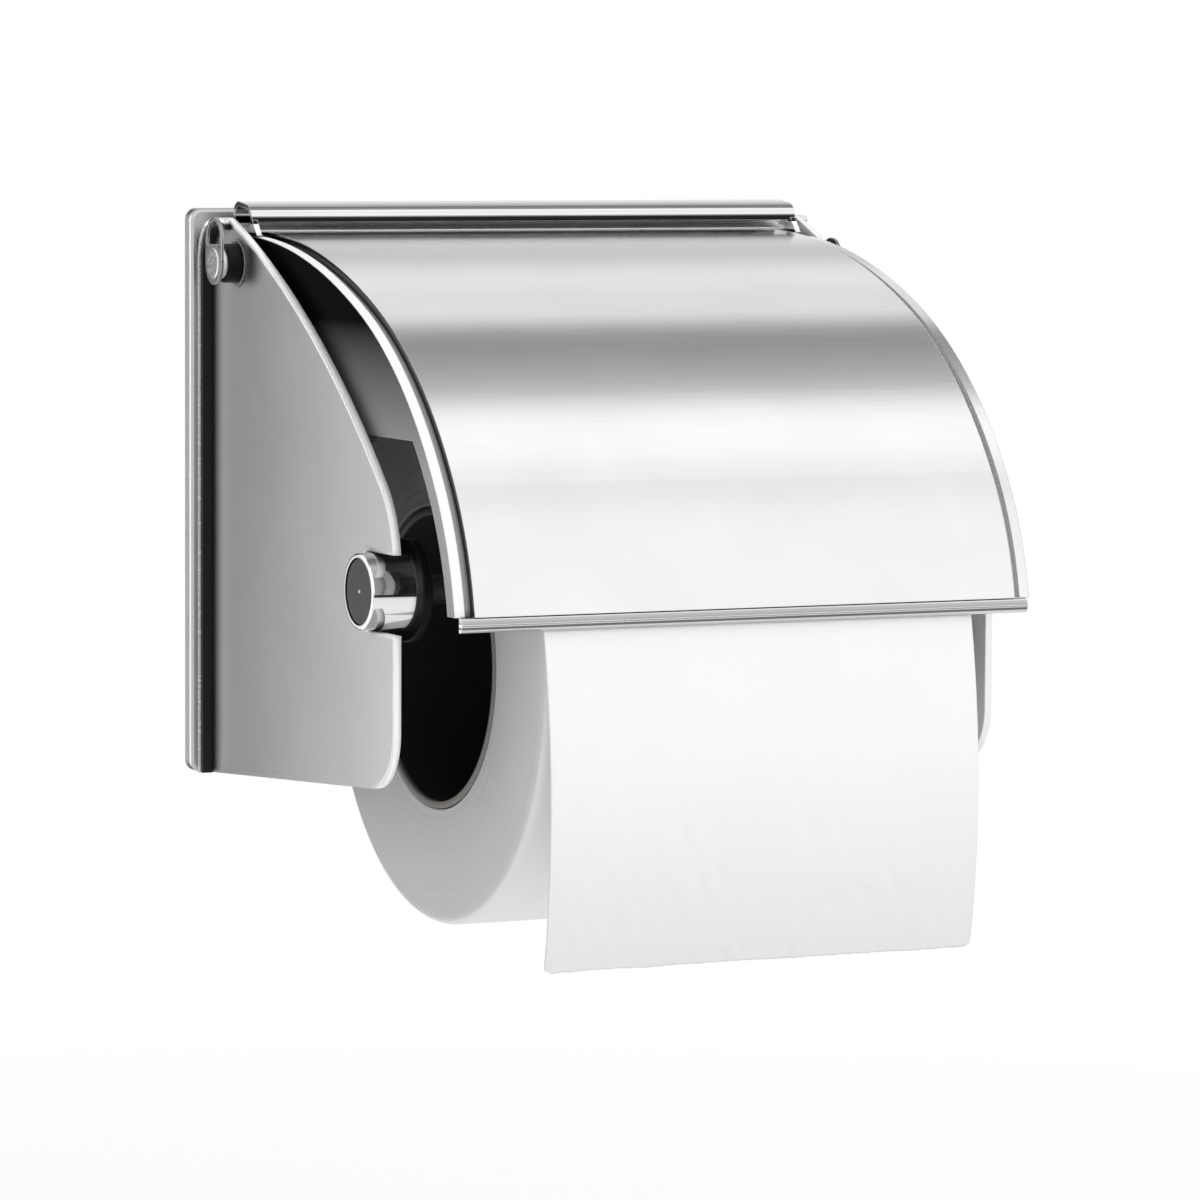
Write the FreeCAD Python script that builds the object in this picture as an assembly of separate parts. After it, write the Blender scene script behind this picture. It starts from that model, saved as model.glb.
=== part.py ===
import FreeCAD, Part
import math
import os

# Wall-mounted tissue roll dispenser with a hinged curved hood.
# Millimetres. X runs to the right seen from the front, +Y into the wall, +Z up.
# The origin is the centre of the wall plate on its back, which lies on the wall.

# Wall plate
PLATE_HEIGHT = 120.8
PLATE_DEPTH = 3.5
PLATE_SHEET = 1.2
PLATE_CORNER = 2.5
PLATE_BEND = 0.9
SCREW_HOLE_RADIUS = 2.6
SCREW_SPACING_X = 80.0
SCREW_SPACING_Z = 84.0
SCREW_DISH_RADIUS = 8.0

# Cheeks, the two side plates
CHEEK_SHEET = 1.5
CHEEK_TO_EAR = 2.0
CHEEK_PLATE_MARGIN = 4.2
CHEEK_TOP_DROP = 1.8
CHEEK_ARCH_RADIUS = 9.0
CHEEK_ARCH_END = math.radians(20.3)
CHEEK_SLOPE_END = math.radians(43.7)
CHEEK_VERTICAL_START_DROP = 69.8
CHEEK_BOTTOM_RISE = 7.0
CHEEK_BOTTOM_CORNER = 12.0
NOTCH_DEPTH_BEHIND_EDGE = 12.0
CHEEK_FOOT_WIDTH = 12.0
CHEEK_FOOT_HEIGHT = 96.0
CHEEK_FOOT_CENTRE_Z = -4.0
CHEEK_RIVET_PITCH = 40.0
RIVET_RADIUS = 1.6
RIVET_HEAD_RADIUS = 2.9
RIVET_HEAD_HEIGHT = 1.0
RIVET_HEAD_ROUNDING = 0.6

# Rim strip and black seal outside each cheek's rear edge
RIM_REACH = 2.7
RIM_SHEET = 0.7
SEAL_THICKNESS = 1.1
SEAL_INSET = 0.5

# Hood
HOOD_HALF_WIDTH = 64.3
HOOD_SHEET = 1.0
HOOD_LIP_Y = -126.5
HOOD_FALL = 75.8
HOOD_START_Y = -16.0
HOOD_TOP_DROP = 4.7
HOOD_START_HEADING = math.radians(1.1)
HOOD_ARC_ONE_RADIUS = 154.7
HOOD_ARC_ONE_END = math.radians(24.5)
HOOD_ARC_TWO_END = math.radians(56.5)
HOOD_ARC_THREE_END = math.radians(80.3)
CURL_RADIUS = 3.2
CURL_DEPTH = 4.4
CURL_RISE = 0.6
CURL_SINK = 0.7
CURL_SLOT_HEIGHT = 2.0
CURL_END_RIM = 1.2
CURL_FOOT_REACH = 2.8
CURL_FOOT_GAP = 0.1
LIP_HEIGHT = 3.0
LIP_SIDE_INSET = 1.0
LIP_THICKNESS = 1.6
LIP_PROUD = 0.6
LIP_BULGE = 0.9
EDGE_BAND_WIDTH = 2.2
EDGE_BAND_DROP = 0.8
EDGE_BAND_DEPTH = 3.5
GROOVE_WIDTH = 1.8
GROOVE_DROP = 1.8
SKIN_FLANGE_DEPTH = 5.0
EAR_LOWER_DROP = 39.3
EAR_REAR_MARGIN = 7.0
EAR_LUG_BELOW = 9.0
EAR_LOWER_REACH = 26.0
EAR_LUG_CORNER = 4.9

# Hood pivot
PIVOT_Y = -20.0
PIVOT_DROP = 11.2
PIN_RADIUS = 2.4
PIN_HEAD_RADIUS = 3.2
PIN_HEAD_LENGTH = 2.2
PIN_HEAD_PROUD = 0.25
PIN_HEAD_ROUNDING = 0.25
PIVOT_CLEARANCE = 0.06
BUSH_RADIUS = 4.1
BUSH_LENGTH = 3.1
BUSH_ROUNDING = 0.4
WASHER_RADIUS = 4.9
WASHER_THICKNESS = 0.5
CLIP_THICKNESS = 0.6
CLIP_RADIUS = 4.5
CLIP_WALL = 0.8
CLIP_RISE = 5.2
SIDE_GAP = 0.15
PUSH_NUT_RADIUS = 4.4
PUSH_NUT_THICKNESS = 1.0
PUSH_NUT_ROOM = 0.6
PUSH_NUT_CHAMFER = 0.3
PIN_TAIL = 0.8

# Spindle
SPINDLE_ROD_RADIUS = 3.0
KNOB_OUTER_RADIUS = 7.7
KNOB_INNER_RADIUS = 8.3
KNOB_PROUD = 2.8
KNOB_INSIDE_REACH = 5.4
KNOB_RIM_WALL = 0.9
KNOB_RIM_ROUNDING = 0.35
KNOB_FLOOR_DEPTH = 3.9
BUTTON_THICKNESS = 2.0
BUTTON_SUNK = 0.3
BUTTON_CLEARANCE = 0.1
BUTTON_ROUNDING = 0.25
BUTTON_PIP_RADIUS = 0.45
NOTCH_CLEARANCE = 0.08
COLLAR_RADIUS = 10.5
COLLAR_THICKNESS = 2.4
COLLAR_ROUNDING = 0.5

# Tissue roll
ROLL_RADIUS = 55.0
ROLL_LEFT_X = -45.0
ROLL_WIDTH = 96.0
ROLL_EDGE_ROUNDING = 2.2
CORE_INNER_RADIUS = 29.5
CORE_WALL = 1.4
CORE_PROUD = 0.2
CORE_ROD_GAP = 0.15
ROLL_LIP_GAP = 0.3
LIP_TO_ROLL_ANGLE = math.radians(10.92)
ROLL_TO_ROD_ANGLE = math.radians(37.88)
TAIL_THICKNESS = 0.4
TAIL_GAP = 0.1
TAIL_LENGTH = 58.0
TAIL_CORNER = 3.0

# Overshoot of each cut, and the slack when edges are picked by place
EXTRA = 1.0
PICK = 0.01

# Places worked out from the sizes above
CHEEK_INNER_X = HOOD_HALF_WIDTH + CHEEK_TO_EAR
CHEEK_OUTER_X = CHEEK_INNER_X + CHEEK_SHEET
PLATE_HALF_WIDTH = CHEEK_OUTER_X + CHEEK_PLATE_MARGIN
PLATE_FACE_Y = -PLATE_DEPTH
PLATE_TOP_Z = PLATE_HEIGHT / 2
CHEEK_APEX = (PLATE_FACE_Y - CHEEK_ARCH_RADIUS, PLATE_TOP_Z - CHEEK_TOP_DROP)
CHEEK_VERTICAL_START_Z = PLATE_TOP_Z - CHEEK_VERTICAL_START_DROP
HOOD_TOP_Z = PLATE_TOP_Z - HOOD_TOP_DROP
HOOD_LIP_Z = HOOD_TOP_Z - HOOD_FALL
EAR_LOWER_Z = HOOD_TOP_Z - EAR_LOWER_DROP
PIVOT_Z = PLATE_TOP_Z - PIVOT_DROP
SKIN_HALF_WIDTH = HOOD_HALF_WIDTH - EDGE_BAND_WIDTH - GROOVE_WIDTH
BAND_INNER_X = HOOD_HALF_WIDTH - EDGE_BAND_WIDTH
LIP_TOP_Z = HOOD_LIP_Z + LIP_HEIGHT
LIP_OUTER_Y = HOOD_LIP_Y - LIP_PROUD
CURL_FRONT = (HOOD_START_Y, HOOD_TOP_Z - CURL_SINK + CURL_RADIUS)
CURL_REAR = (CURL_FRONT[0] + CURL_DEPTH, CURL_FRONT[1] + CURL_RISE)
PIN_HEAD_INNER_X = CHEEK_OUTER_X + WASHER_THICKNESS + BUSH_LENGTH
PIN_HEAD_OUTER_X = PIN_HEAD_INNER_X + PIN_HEAD_LENGTH
KNOB_OUTER_X = CHEEK_OUTER_X + KNOB_PROUD
KNOB_INNER_X = CHEEK_INNER_X - KNOB_INSIDE_REACH
COLLAR_INNER_X = KNOB_INNER_X - COLLAR_THICKNESS
ROLL_RIGHT_X = ROLL_LEFT_X + ROLL_WIDTH

# The roll leans on the lower edge of the hood's lip and hangs on the rod by its core
LIP_INNER_Y = LIP_OUTER_Y + LIP_THICKNESS
ROLL_LEAN = ROLL_RADIUS + ROLL_LIP_GAP
ROLL_Y = LIP_INNER_Y + ROLL_LEAN * math.cos(LIP_TO_ROLL_ANGLE)
ROLL_Z = HOOD_LIP_Z - ROLL_LEAN * math.sin(LIP_TO_ROLL_ANGLE)
CORE_HANG = CORE_INNER_RADIUS - SPINDLE_ROD_RADIUS - CORE_ROD_GAP
SPINDLE_Y = ROLL_Y - CORE_HANG * math.cos(ROLL_TO_ROD_ANGLE)
SPINDLE_Z = ROLL_Z + CORE_HANG * math.sin(ROLL_TO_ROD_ANGLE)
CHEEK_FRONT_Y = SPINDLE_Y - NOTCH_DEPTH_BEHIND_EDGE
TAIL_Y = ROLL_Y - ROLL_RADIUS - TAIL_GAP
TAIL_BOTTOM_Z = ROLL_Z - TAIL_LENGTH


def vector(x, y, z):
    return FreeCAD.Vector(x, y, z)


def box(low, high):
    """A box between two opposite corners."""
    size = [high[i] - low[i] for i in range(3)]
    return Part.makeBox(size[0], size[1], size[2], vector(*low))


def rod_x(radius, x_low, x_high, y, z):
    """A round bar along X."""
    return Part.makeCylinder(radius, x_high - x_low, vector(x_low, y, z), vector(1, 0, 0))


def rod_y(radius, y_low, y_high, x, z):
    """A round bar along Y."""
    return Part.makeCylinder(radius, y_high - y_low, vector(x, y_low, z), vector(0, 1, 0))


def mirrored(shape):
    """The same shape on the other side of the middle plane."""
    return shape.mirror(vector(0, 0, 0), vector(1, 0, 0))


def on_side(shape_on_left, side):
    """A left-hand shape as it is for side -1, or mirrored for side +1."""
    if side < 0:
        return shape_on_left
    return mirrored(shape_on_left)


def arc_step(start, heading_from, heading_to, radius):
    """The middle and end of an arc that turns downwards as it runs forwards.

    A heading is the angle below straight forwards, so a point at heading h lies at
    centre + radius * (-sin h, cos h) in the plane of Y and Z.
    """
    centre_y = start[0] + radius * math.sin(heading_from)
    centre_z = start[1] - radius * math.cos(heading_from)
    points = []
    for heading in ((heading_from + heading_to) / 2, heading_to):
        points.append((centre_y - radius * math.sin(heading), centre_z + radius * math.cos(heading)))
    return points


def two_radii(start, end, first, middle, last):
    """The radii of two arcs in a row that join two points with the given headings."""
    across = start[0] - end[0]
    down = start[1] - end[1]
    a = math.sin(middle) - math.sin(first)
    b = math.sin(last) - math.sin(middle)
    c = math.cos(first) - math.cos(middle)
    d = math.cos(middle) - math.cos(last)
    share = a * d - b * c
    return (across * d - down * b) / share, (down * a - across * c) / share


def curve_edges(start, arcs, inset, x):
    """Edges of a chain of arcs, moved inwards by an inset, in the plane at x.

    Each arc is (heading from, heading to, radius of the outer curve).
    """
    first = arcs[0][0]
    point = (start[0] + inset * math.sin(first), start[1] - inset * math.cos(first))
    edges = []
    for heading_from, heading_to, radius in arcs:
        middle, end = arc_step(point, heading_from, heading_to, radius - inset)
        edges.append(Part.Arc(vector(x, *point), vector(x, *middle), vector(x, *end)).toShape())
        point = end
    return edges, point


def line(x, start, end):
    return Part.makeLine(vector(x, *start), vector(x, *end))


def prism(edges, length):
    """A solid from a closed outline in a plane across X, pushed along +X."""
    wire = Part.Wire(Part.sortEdges(edges)[0])
    return Part.Face(wire).extrude(vector(length, 0, 0))


def polygon(points, x, length):
    closed = [vector(x, *p) for p in points + points[:1]]
    return Part.Face(Part.makePolygon(closed)).extrude(vector(length, 0, 0))


def edges_where(shape, test):
    return [edge for edge in shape.Edges if test(edge.BoundBox)]


def write(name, shape):
    """Writes one node and stops if a solid in it is not sound."""
    cleaned = shape.removeSplitter()
    if not cleaned.isValid() or not cleaned.Solids:
        raise ValueError(name + " is not a sound solid")
    cleaned.exportStep("parts/" + name + ".step")
    print(name, len(cleaned.Solids), round(cleaned.Volume, 1))


# The hood's outer curve
HOOD_CURVE_START = (HOOD_START_Y, HOOD_TOP_Z)
HOOD_ARC_ONE = (HOOD_START_HEADING, HOOD_ARC_ONE_END, HOOD_ARC_ONE_RADIUS)
HOOD_JOIN = arc_step(HOOD_CURVE_START, *HOOD_ARC_ONE)[1]
HOOD_RADII = two_radii(HOOD_JOIN, (HOOD_LIP_Y, LIP_TOP_Z), HOOD_ARC_ONE_END,
                       HOOD_ARC_TWO_END, HOOD_ARC_THREE_END)
HOOD_ARCS = [HOOD_ARC_ONE,
             (HOOD_ARC_ONE_END, HOOD_ARC_TWO_END, HOOD_RADII[0]),
             (HOOD_ARC_TWO_END, HOOD_ARC_THREE_END, HOOD_RADII[1])]

# The cheeks' front curve, from the top of the arch to the upright front edge
ARCH_ARC = (0.0, CHEEK_ARCH_END, CHEEK_ARCH_RADIUS)
ARCH_JOIN = arc_step(CHEEK_APEX, *ARCH_ARC)[1]
CHEEK_RADII = two_radii(ARCH_JOIN, (CHEEK_FRONT_Y, CHEEK_VERTICAL_START_Z), CHEEK_ARCH_END,
                        CHEEK_SLOPE_END, math.pi / 2)
CHEEK_ARCS = [ARCH_ARC,
              (CHEEK_ARCH_END, CHEEK_SLOPE_END, CHEEK_RADII[0]),
              (CHEEK_SLOPE_END, math.pi / 2, CHEEK_RADII[1])]


def knob_radius_at(x):
    """The knob tapers from its inner end to its outer end."""
    share = (x - KNOB_INNER_X) / (KNOB_OUTER_X - KNOB_INNER_X)
    return KNOB_INNER_RADIUS + share * (KNOB_OUTER_RADIUS - KNOB_INNER_RADIUS)


def wall_plate():
    """A pressed tray with rounded corners, open to the wall.

    Four dished places carry the screw holes and reach back to the wall.
    """
    half = PLATE_HALF_WIDTH
    top = PLATE_TOP_Z
    tray = box((-half, PLATE_FACE_Y, -top), (half, 0, top))
    corners = edges_where(tray, lambda b: b.YLength > PLATE_DEPTH / 2)
    tray = tray.makeFillet(PLATE_CORNER, corners)
    front = edges_where(tray, lambda b: b.YMax < PLATE_FACE_Y + PICK)
    tray = tray.makeFillet(PLATE_BEND, front)
    inner = box((-half + PLATE_SHEET, PLATE_FACE_Y + PLATE_SHEET, -top + PLATE_SHEET),
                (half - PLATE_SHEET, EXTRA, top - PLATE_SHEET))
    inner_corners = edges_where(inner, lambda b: b.YLength > PLATE_DEPTH / 2)
    tray = tray.cut(inner.makeFillet(PLATE_CORNER - PLATE_SHEET, inner_corners))
    for x in (-SCREW_SPACING_X / 2, SCREW_SPACING_X / 2):
        for z in (-SCREW_SPACING_Z / 2, SCREW_SPACING_Z / 2):
            dish = rod_y(SCREW_DISH_RADIUS + PLATE_SHEET, PLATE_FACE_Y + PLATE_SHEET / 2, 0, x, z)
            tray = tray.fuse(dish)
            tray = tray.cut(rod_y(SCREW_DISH_RADIUS, PLATE_FACE_Y - EXTRA, -PLATE_SHEET, x, z))
            tray = tray.cut(rod_y(SCREW_HOLE_RADIUS, PLATE_FACE_Y - EXTRA, EXTRA, x, z))
    for x, z in rivet_places():
        tray = tray.cut(rod_y(RIVET_RADIUS, PLATE_FACE_Y - EXTRA, EXTRA, x, z))
    return tray


def rivet_places():
    """Middles of the rivets that hold the cheeks' feet to the plate."""
    x = CHEEK_INNER_X - CHEEK_FOOT_WIDTH / 2
    heights = [CHEEK_FOOT_CENTRE_Z + step * CHEEK_RIVET_PITCH for step in (-1, 0, 1)]
    return [(side * x, z) for side in (-1, 1) for z in heights]


def cheek_blank():
    """The left cheek's flat outline before its notch and holes, as a plate."""
    x = -CHEEK_OUTER_X
    curve, front_top = curve_edges(CHEEK_APEX, CHEEK_ARCS, 0.0, x)
    rear_top = (PLATE_FACE_Y, CHEEK_APEX[1] - CHEEK_ARCH_RADIUS)
    quarter = CHEEK_ARCH_RADIUS * math.sqrt(0.5)
    arch_middle = (CHEEK_APEX[0] + quarter, rear_top[1] + quarter)
    arch = Part.Arc(vector(x, *rear_top), vector(x, *arch_middle), vector(x, *CHEEK_APEX)).toShape()
    rear_bottom = (PLATE_FACE_Y, -PLATE_TOP_Z)
    front_bottom = (CHEEK_FRONT_Y, -PLATE_TOP_Z + CHEEK_BOTTOM_RISE)
    edges = [arch] + curve
    edges.append(line(x, front_top, front_bottom))
    edges.append(line(x, front_bottom, rear_bottom))
    edges.append(line(x, rear_bottom, rear_top))
    blank = prism(edges, CHEEK_SHEET)
    corner = edges_where(blank, lambda b: b.YMax < CHEEK_FRONT_Y + PICK
                         and b.ZMax < front_bottom[1] + PICK and b.XLength > CHEEK_SHEET / 2)
    return blank.makeFillet(CHEEK_BOTTOM_CORNER, corner)


def cheek():
    """The left cheek: side plate with a foot turned inwards, a spindle notch and a pivot hole."""
    plate = cheek_blank()
    foot_low = CHEEK_FOOT_CENTRE_Z - CHEEK_FOOT_HEIGHT / 2
    foot_high = CHEEK_FOOT_CENTRE_Z + CHEEK_FOOT_HEIGHT / 2
    foot = box((-CHEEK_OUTER_X, PLATE_FACE_Y - CHEEK_SHEET, foot_low),
               (-CHEEK_INNER_X + CHEEK_FOOT_WIDTH, PLATE_FACE_Y, foot_high))
    plate = plate.fuse(foot).removeSplitter()
    notch_radius = knob_radius_at(CHEEK_INNER_X) + NOTCH_CLEARANCE
    notch = rod_x(notch_radius, -CHEEK_OUTER_X - EXTRA, -CHEEK_INNER_X + EXTRA, SPINDLE_Y, SPINDLE_Z)
    mouth = box((-CHEEK_OUTER_X - EXTRA, CHEEK_FRONT_Y - EXTRA, SPINDLE_Z - notch_radius),
                (-CHEEK_INNER_X + EXTRA, SPINDLE_Y, SPINDLE_Z + notch_radius))
    plate = plate.cut(notch).cut(mouth)
    hole = rod_x(PIN_RADIUS, -CHEEK_OUTER_X - EXTRA, -CHEEK_INNER_X + EXTRA, PIVOT_Y, PIVOT_Z)
    plate = plate.cut(hole)
    for x, z in rivet_places():
        front_y = PLATE_FACE_Y - CHEEK_SHEET - EXTRA
        plate = plate.cut(rod_y(RIVET_RADIUS, front_y, PLATE_FACE_Y + EXTRA, x, z))
    return plate


def rim_band(outer_inset, inner_inset, reach):
    """A band along the cheek's rear edge and over its arch, standing outwards from its face.

    It is the slice of the cheek's outline between two insets, and it tapers away where
    the arch runs into the front slope.
    """
    radius = CHEEK_ARCH_RADIUS
    centre_y = CHEEK_APEX[0]
    centre_z = CHEEK_APEX[1] - radius
    x_low = -CHEEK_OUTER_X - reach
    slices = []
    for inset in (outer_inset, inner_inset):
        upright = box((x_low, centre_y, -PLATE_TOP_Z), (-CHEEK_OUTER_X, PLATE_FACE_Y - inset, centre_z))
        dome = rod_x(radius - inset, x_low, -CHEEK_OUTER_X, centre_y, centre_z)
        half = box((x_low, centre_y - radius * math.sin(CHEEK_ARCH_END), centre_z),
                   (-CHEEK_OUTER_X, PLATE_FACE_Y, centre_z + radius))
        slices.append(upright.fuse(dome.common(half)).removeSplitter())
    inner = slices[1]
    spare = box((x_low - EXTRA, centre_y - radius, -PLATE_TOP_Z - EXTRA),
                (-CHEEK_OUTER_X + EXTRA, centre_y, centre_z))
    band = slices[0].cut(inner).cut(spare)
    return band.cut(rim_taper(reach))


def rim_taper(reach):
    """The wedge that takes the rim down to nothing from the top of the arch forwards."""
    front_y = CHEEK_APEX[0] - CHEEK_ARCH_RADIUS
    rear_y = CHEEK_APEX[0] + CHEEK_ARCH_RADIUS / 2
    outer_x = -CHEEK_OUTER_X - reach - EXTRA
    corners = [vector(outer_x, rear_y, 0), vector(outer_x, front_y, 0)]
    corners.append(vector(-CHEEK_OUTER_X - RIM_SHEET / 2, front_y, 0))
    corners.append(vector(-CHEEK_OUTER_X - reach, rear_y, 0))
    face = Part.Face(Part.makePolygon(corners + corners[:1]))
    return face.extrude(vector(0, 0, PLATE_HEIGHT))


def rivets():
    """Rivets through the cheeks' feet and the plate, one solid each."""
    solids = []
    foot_face = PLATE_FACE_Y - CHEEK_SHEET
    back = PLATE_FACE_Y + PLATE_SHEET
    for x, z in rivet_places():
        shank = rod_y(RIVET_RADIUS, foot_face, back + RIVET_HEAD_HEIGHT, x, z)
        head = rod_y(RIVET_HEAD_RADIUS, foot_face - RIVET_HEAD_HEIGHT, foot_face, x, z)
        rim = edges_where(head, lambda b: b.YMax < foot_face - RIVET_HEAD_HEIGHT + PICK)
        head = head.makeFillet(RIVET_HEAD_ROUNDING, rim)
        tail = rod_y(RIVET_HEAD_RADIUS, back, back + RIVET_HEAD_HEIGHT, x, z)
        solids.append(head.fuse(shank).fuse(tail).removeSplitter())
    return Part.makeCompound(solids)


def hood_region(inset, x_low, x_high):
    """Everything behind and below the hood's curve, moved inwards by an inset."""
    edges, end = curve_edges(HOOD_CURVE_START, HOOD_ARCS, inset, x_low)
    start = (HOOD_CURVE_START[0] + inset * math.sin(HOOD_START_HEADING),
             HOOD_CURVE_START[1] - inset * math.cos(HOOD_START_HEADING))
    end_low = (end[0], LIP_TOP_Z - PLATE_HEIGHT)
    rear_low = (PIVOT_Y + PLATE_HEIGHT, end_low[1])
    rear_top = (rear_low[0], start[1])
    edges.append(line(x_low, end, end_low))
    edges.append(line(x_low, end_low, rear_low))
    edges.append(line(x_low, rear_low, rear_top))
    edges.append(line(x_low, rear_top, start))
    return prism(edges, x_high - x_low)


def hood_shell(outer_inset, inner_inset, x_low, x_high):
    """The band between two insets of the hood's curve, from the curl to the lip."""
    shell = hood_region(outer_inset, x_low, x_high).cut(hood_region(inner_inset, x_low, x_high))
    far_y = HOOD_LIP_Y - PLATE_HEIGHT
    span = box((x_low, far_y, LIP_TOP_Z), (x_high, HOOD_START_Y, HOOD_TOP_Z + EXTRA))
    return shell.common(span)


def oval_bar(radius, half_length):
    """A bar along X round the rear curl's two centres, with an oval section."""
    front = rod_x(radius, -half_length, half_length, *CURL_FRONT)
    rear = rod_x(radius, -half_length, half_length, *CURL_REAR)
    tilt = math.atan2(CURL_RISE, CURL_DEPTH)
    side = (-radius * math.sin(tilt), radius * math.cos(tilt))
    web = [(CURL_FRONT[0] - side[0], CURL_FRONT[1] - side[1])]
    web.append((CURL_REAR[0] - side[0], CURL_REAR[1] - side[1]))
    web.append((CURL_REAR[0] + side[0], CURL_REAR[1] + side[1]))
    web.append((CURL_FRONT[0] + side[0], CURL_FRONT[1] + side[1]))
    return front.fuse(rear).fuse(polygon(web, -half_length, 2 * half_length)).removeSplitter()


def hood_cover():
    """The curved sheet with its rear curl, turned-in sides and folded lip."""
    skin = hood_shell(0.0, HOOD_SHEET, -SKIN_HALF_WIDTH, SKIN_HALF_WIDTH)
    for x_low in (-SKIN_HALF_WIDTH, SKIN_HALF_WIDTH - HOOD_SHEET):
        skin = skin.fuse(hood_shell(0.0, SKIN_FLANGE_DEPTH, x_low, x_low + HOOD_SHEET))
    curl = oval_bar(CURL_RADIUS, HOOD_HALF_WIDTH)
    bore = oval_bar(CURL_RADIUS - HOOD_SHEET, HOOD_HALF_WIDTH + EXTRA)
    reach = HOOD_HALF_WIDTH - LIP_SIDE_INSET
    lip = rolled_lip(reach)
    foot = curl_foot()
    cover = skin.fuse(curl).fuse(foot).fuse(mirrored(foot)).cut(bore).cut(curl_slot()).fuse(lip)
    return cover.cut(push_nut_room()).cut(mirrored(push_nut_room())).removeSplitter()


def rolled_lip(reach):
    """The hem folded round the hood's lower edge, flat behind and bulging forwards."""
    x = -reach
    edge_y = LIP_OUTER_Y + LIP_BULGE
    low_front = (edge_y, HOOD_LIP_Z)
    low_rear = (LIP_INNER_Y, HOOD_LIP_Z)
    top_rear = (LIP_INNER_Y, LIP_TOP_Z)
    top_front = (edge_y, LIP_TOP_Z)
    middle = (LIP_OUTER_Y, HOOD_LIP_Z + LIP_HEIGHT / 2)
    front = Part.Arc(vector(x, *top_front), vector(x, *middle), vector(x, *low_front)).toShape()
    edges = [front, line(x, low_front, low_rear), line(x, low_rear, top_rear), line(x, top_rear, top_front)]
    return prism(edges, 2 * reach)


def curl_foot():
    """The left end rim's foot, which slopes forwards down to just above the ear's edge band."""
    x_low = -HOOD_HALF_WIDTH
    front_y = CURL_FRONT[0] - CURL_RADIUS
    low_z = CURL_FRONT[1] - CURL_RADIUS
    corners = [(front_y, CURL_FRONT[1]), (front_y - CURL_FOOT_REACH, low_z), (CURL_FRONT[0], low_z)]
    wedge = polygon(corners, x_low, CURL_END_RIM)
    return wedge.cut(hood_region(EDGE_BAND_DROP - CURL_FOOT_GAP, x_low - EXTRA, x_low + CURL_END_RIM + EXTRA))


def curl_slot():
    """The long slot along the foot of the rear curl, between its two end rims."""
    reach = HOOD_HALF_WIDTH - CURL_END_RIM
    front_y = CURL_FRONT[0] - CURL_RADIUS - EXTRA
    return box((-reach, front_y, HOOD_TOP_Z), (reach, CURL_FRONT[0], HOOD_TOP_Z + CURL_SLOT_HEIGHT))


def push_nut_room():
    """The round space that the left push nut and pin end turn in, inside the ear's plate."""
    return rod_x(PUSH_NUT_RADIUS + PUSH_NUT_ROOM, -BAND_INNER_X, -SKIN_HALF_WIDTH + 2 * HOOD_SHEET,
                 PIVOT_Y, PIVOT_Z)


def hood_ear():
    """The left ear: the edge band along the hood's side, its rib and the plate at the pivot."""
    x_low = -HOOD_HALF_WIDTH
    x_high = -BAND_INNER_X
    band = hood_shell(EDGE_BAND_DROP, EDGE_BAND_DROP + EDGE_BAND_DEPTH, x_low, x_high)
    rear_y = PIVOT_Y + EAR_REAR_MARGIN
    lug_z = PIVOT_Z - EAR_LUG_BELOW
    low_rear_y = PIVOT_Y - EAR_LOWER_REACH
    top_z = HOOD_TOP_Z + EXTRA
    far_y = HOOD_LIP_Y - EXTRA
    shape = [(rear_y, top_z), (rear_y, lug_z), (low_rear_y, EAR_LOWER_Z)]
    shape += [(far_y, EAR_LOWER_Z), (far_y, top_z)]
    plate = polygon(shape, x_low, x_high - x_low).common(hood_region(EDGE_BAND_DROP, x_low, x_high))
    rib = hood_shell(GROOVE_DROP, SKIN_FLANGE_DEPTH, x_high, -SKIN_HALF_WIDTH).cut(push_nut_room())
    ear = plate.fuse(band).fuse(rib).removeSplitter()
    lug_corner = edges_where(ear, lambda b: abs(b.YMin - rear_y) < PICK and abs(b.ZMax - lug_z) < PICK
                             and b.XLength > EDGE_BAND_WIDTH / 2)
    ear = ear.makeFillet(EAR_LUG_CORNER, lug_corner)
    hole = rod_x(PIN_RADIUS + PIVOT_CLEARANCE, x_low - EXTRA, x_high + EXTRA, PIVOT_Y, PIVOT_Z)
    return ear.cut(hole)


def pivot_pin():
    """The left pivot pin, headed outside, through the bush, cheek, spacer and ear."""
    inner_end = -BAND_INNER_X + SIDE_GAP + PUSH_NUT_THICKNESS + PIN_TAIL
    shank = rod_x(PIN_RADIUS, -PIN_HEAD_INNER_X, inner_end, PIVOT_Y, PIVOT_Z)
    head = rod_x(PIN_HEAD_RADIUS, -PIN_HEAD_OUTER_X, -PIN_HEAD_INNER_X, PIVOT_Y, PIVOT_Z)
    rim = edges_where(head, lambda b: b.XMax < -PIN_HEAD_OUTER_X + PICK)
    head = head.makeFillet(PIN_HEAD_ROUNDING, rim)
    return shank.fuse(head).removeSplitter()


def ring_x(outer_radius, inner_radius, x_low, x_high, y, z):
    bore = rod_x(inner_radius, x_low - EXTRA, x_high + EXTRA, y, z)
    return rod_x(outer_radius, x_low, x_high, y, z).cut(bore)


def pivot_bush():
    """The black bush between the pin's head and the washer."""
    bush = ring_x(BUSH_RADIUS, PIN_RADIUS, -PIN_HEAD_INNER_X, -CHEEK_OUTER_X - WASHER_THICKNESS,
                  PIVOT_Y, PIVOT_Z)
    rim = edges_where(bush, lambda b: b.XMax < -PIN_HEAD_INNER_X + PICK
                      and b.YLength > 2 * PIN_RADIUS + EXTRA)
    return bush.makeFillet(BUSH_ROUNDING, rim)


def pivot_washer():
    return ring_x(WASHER_RADIUS, PIN_RADIUS, -CHEEK_OUTER_X - WASHER_THICKNESS, -CHEEK_OUTER_X,
                  PIVOT_Y, PIVOT_Z)


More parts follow.
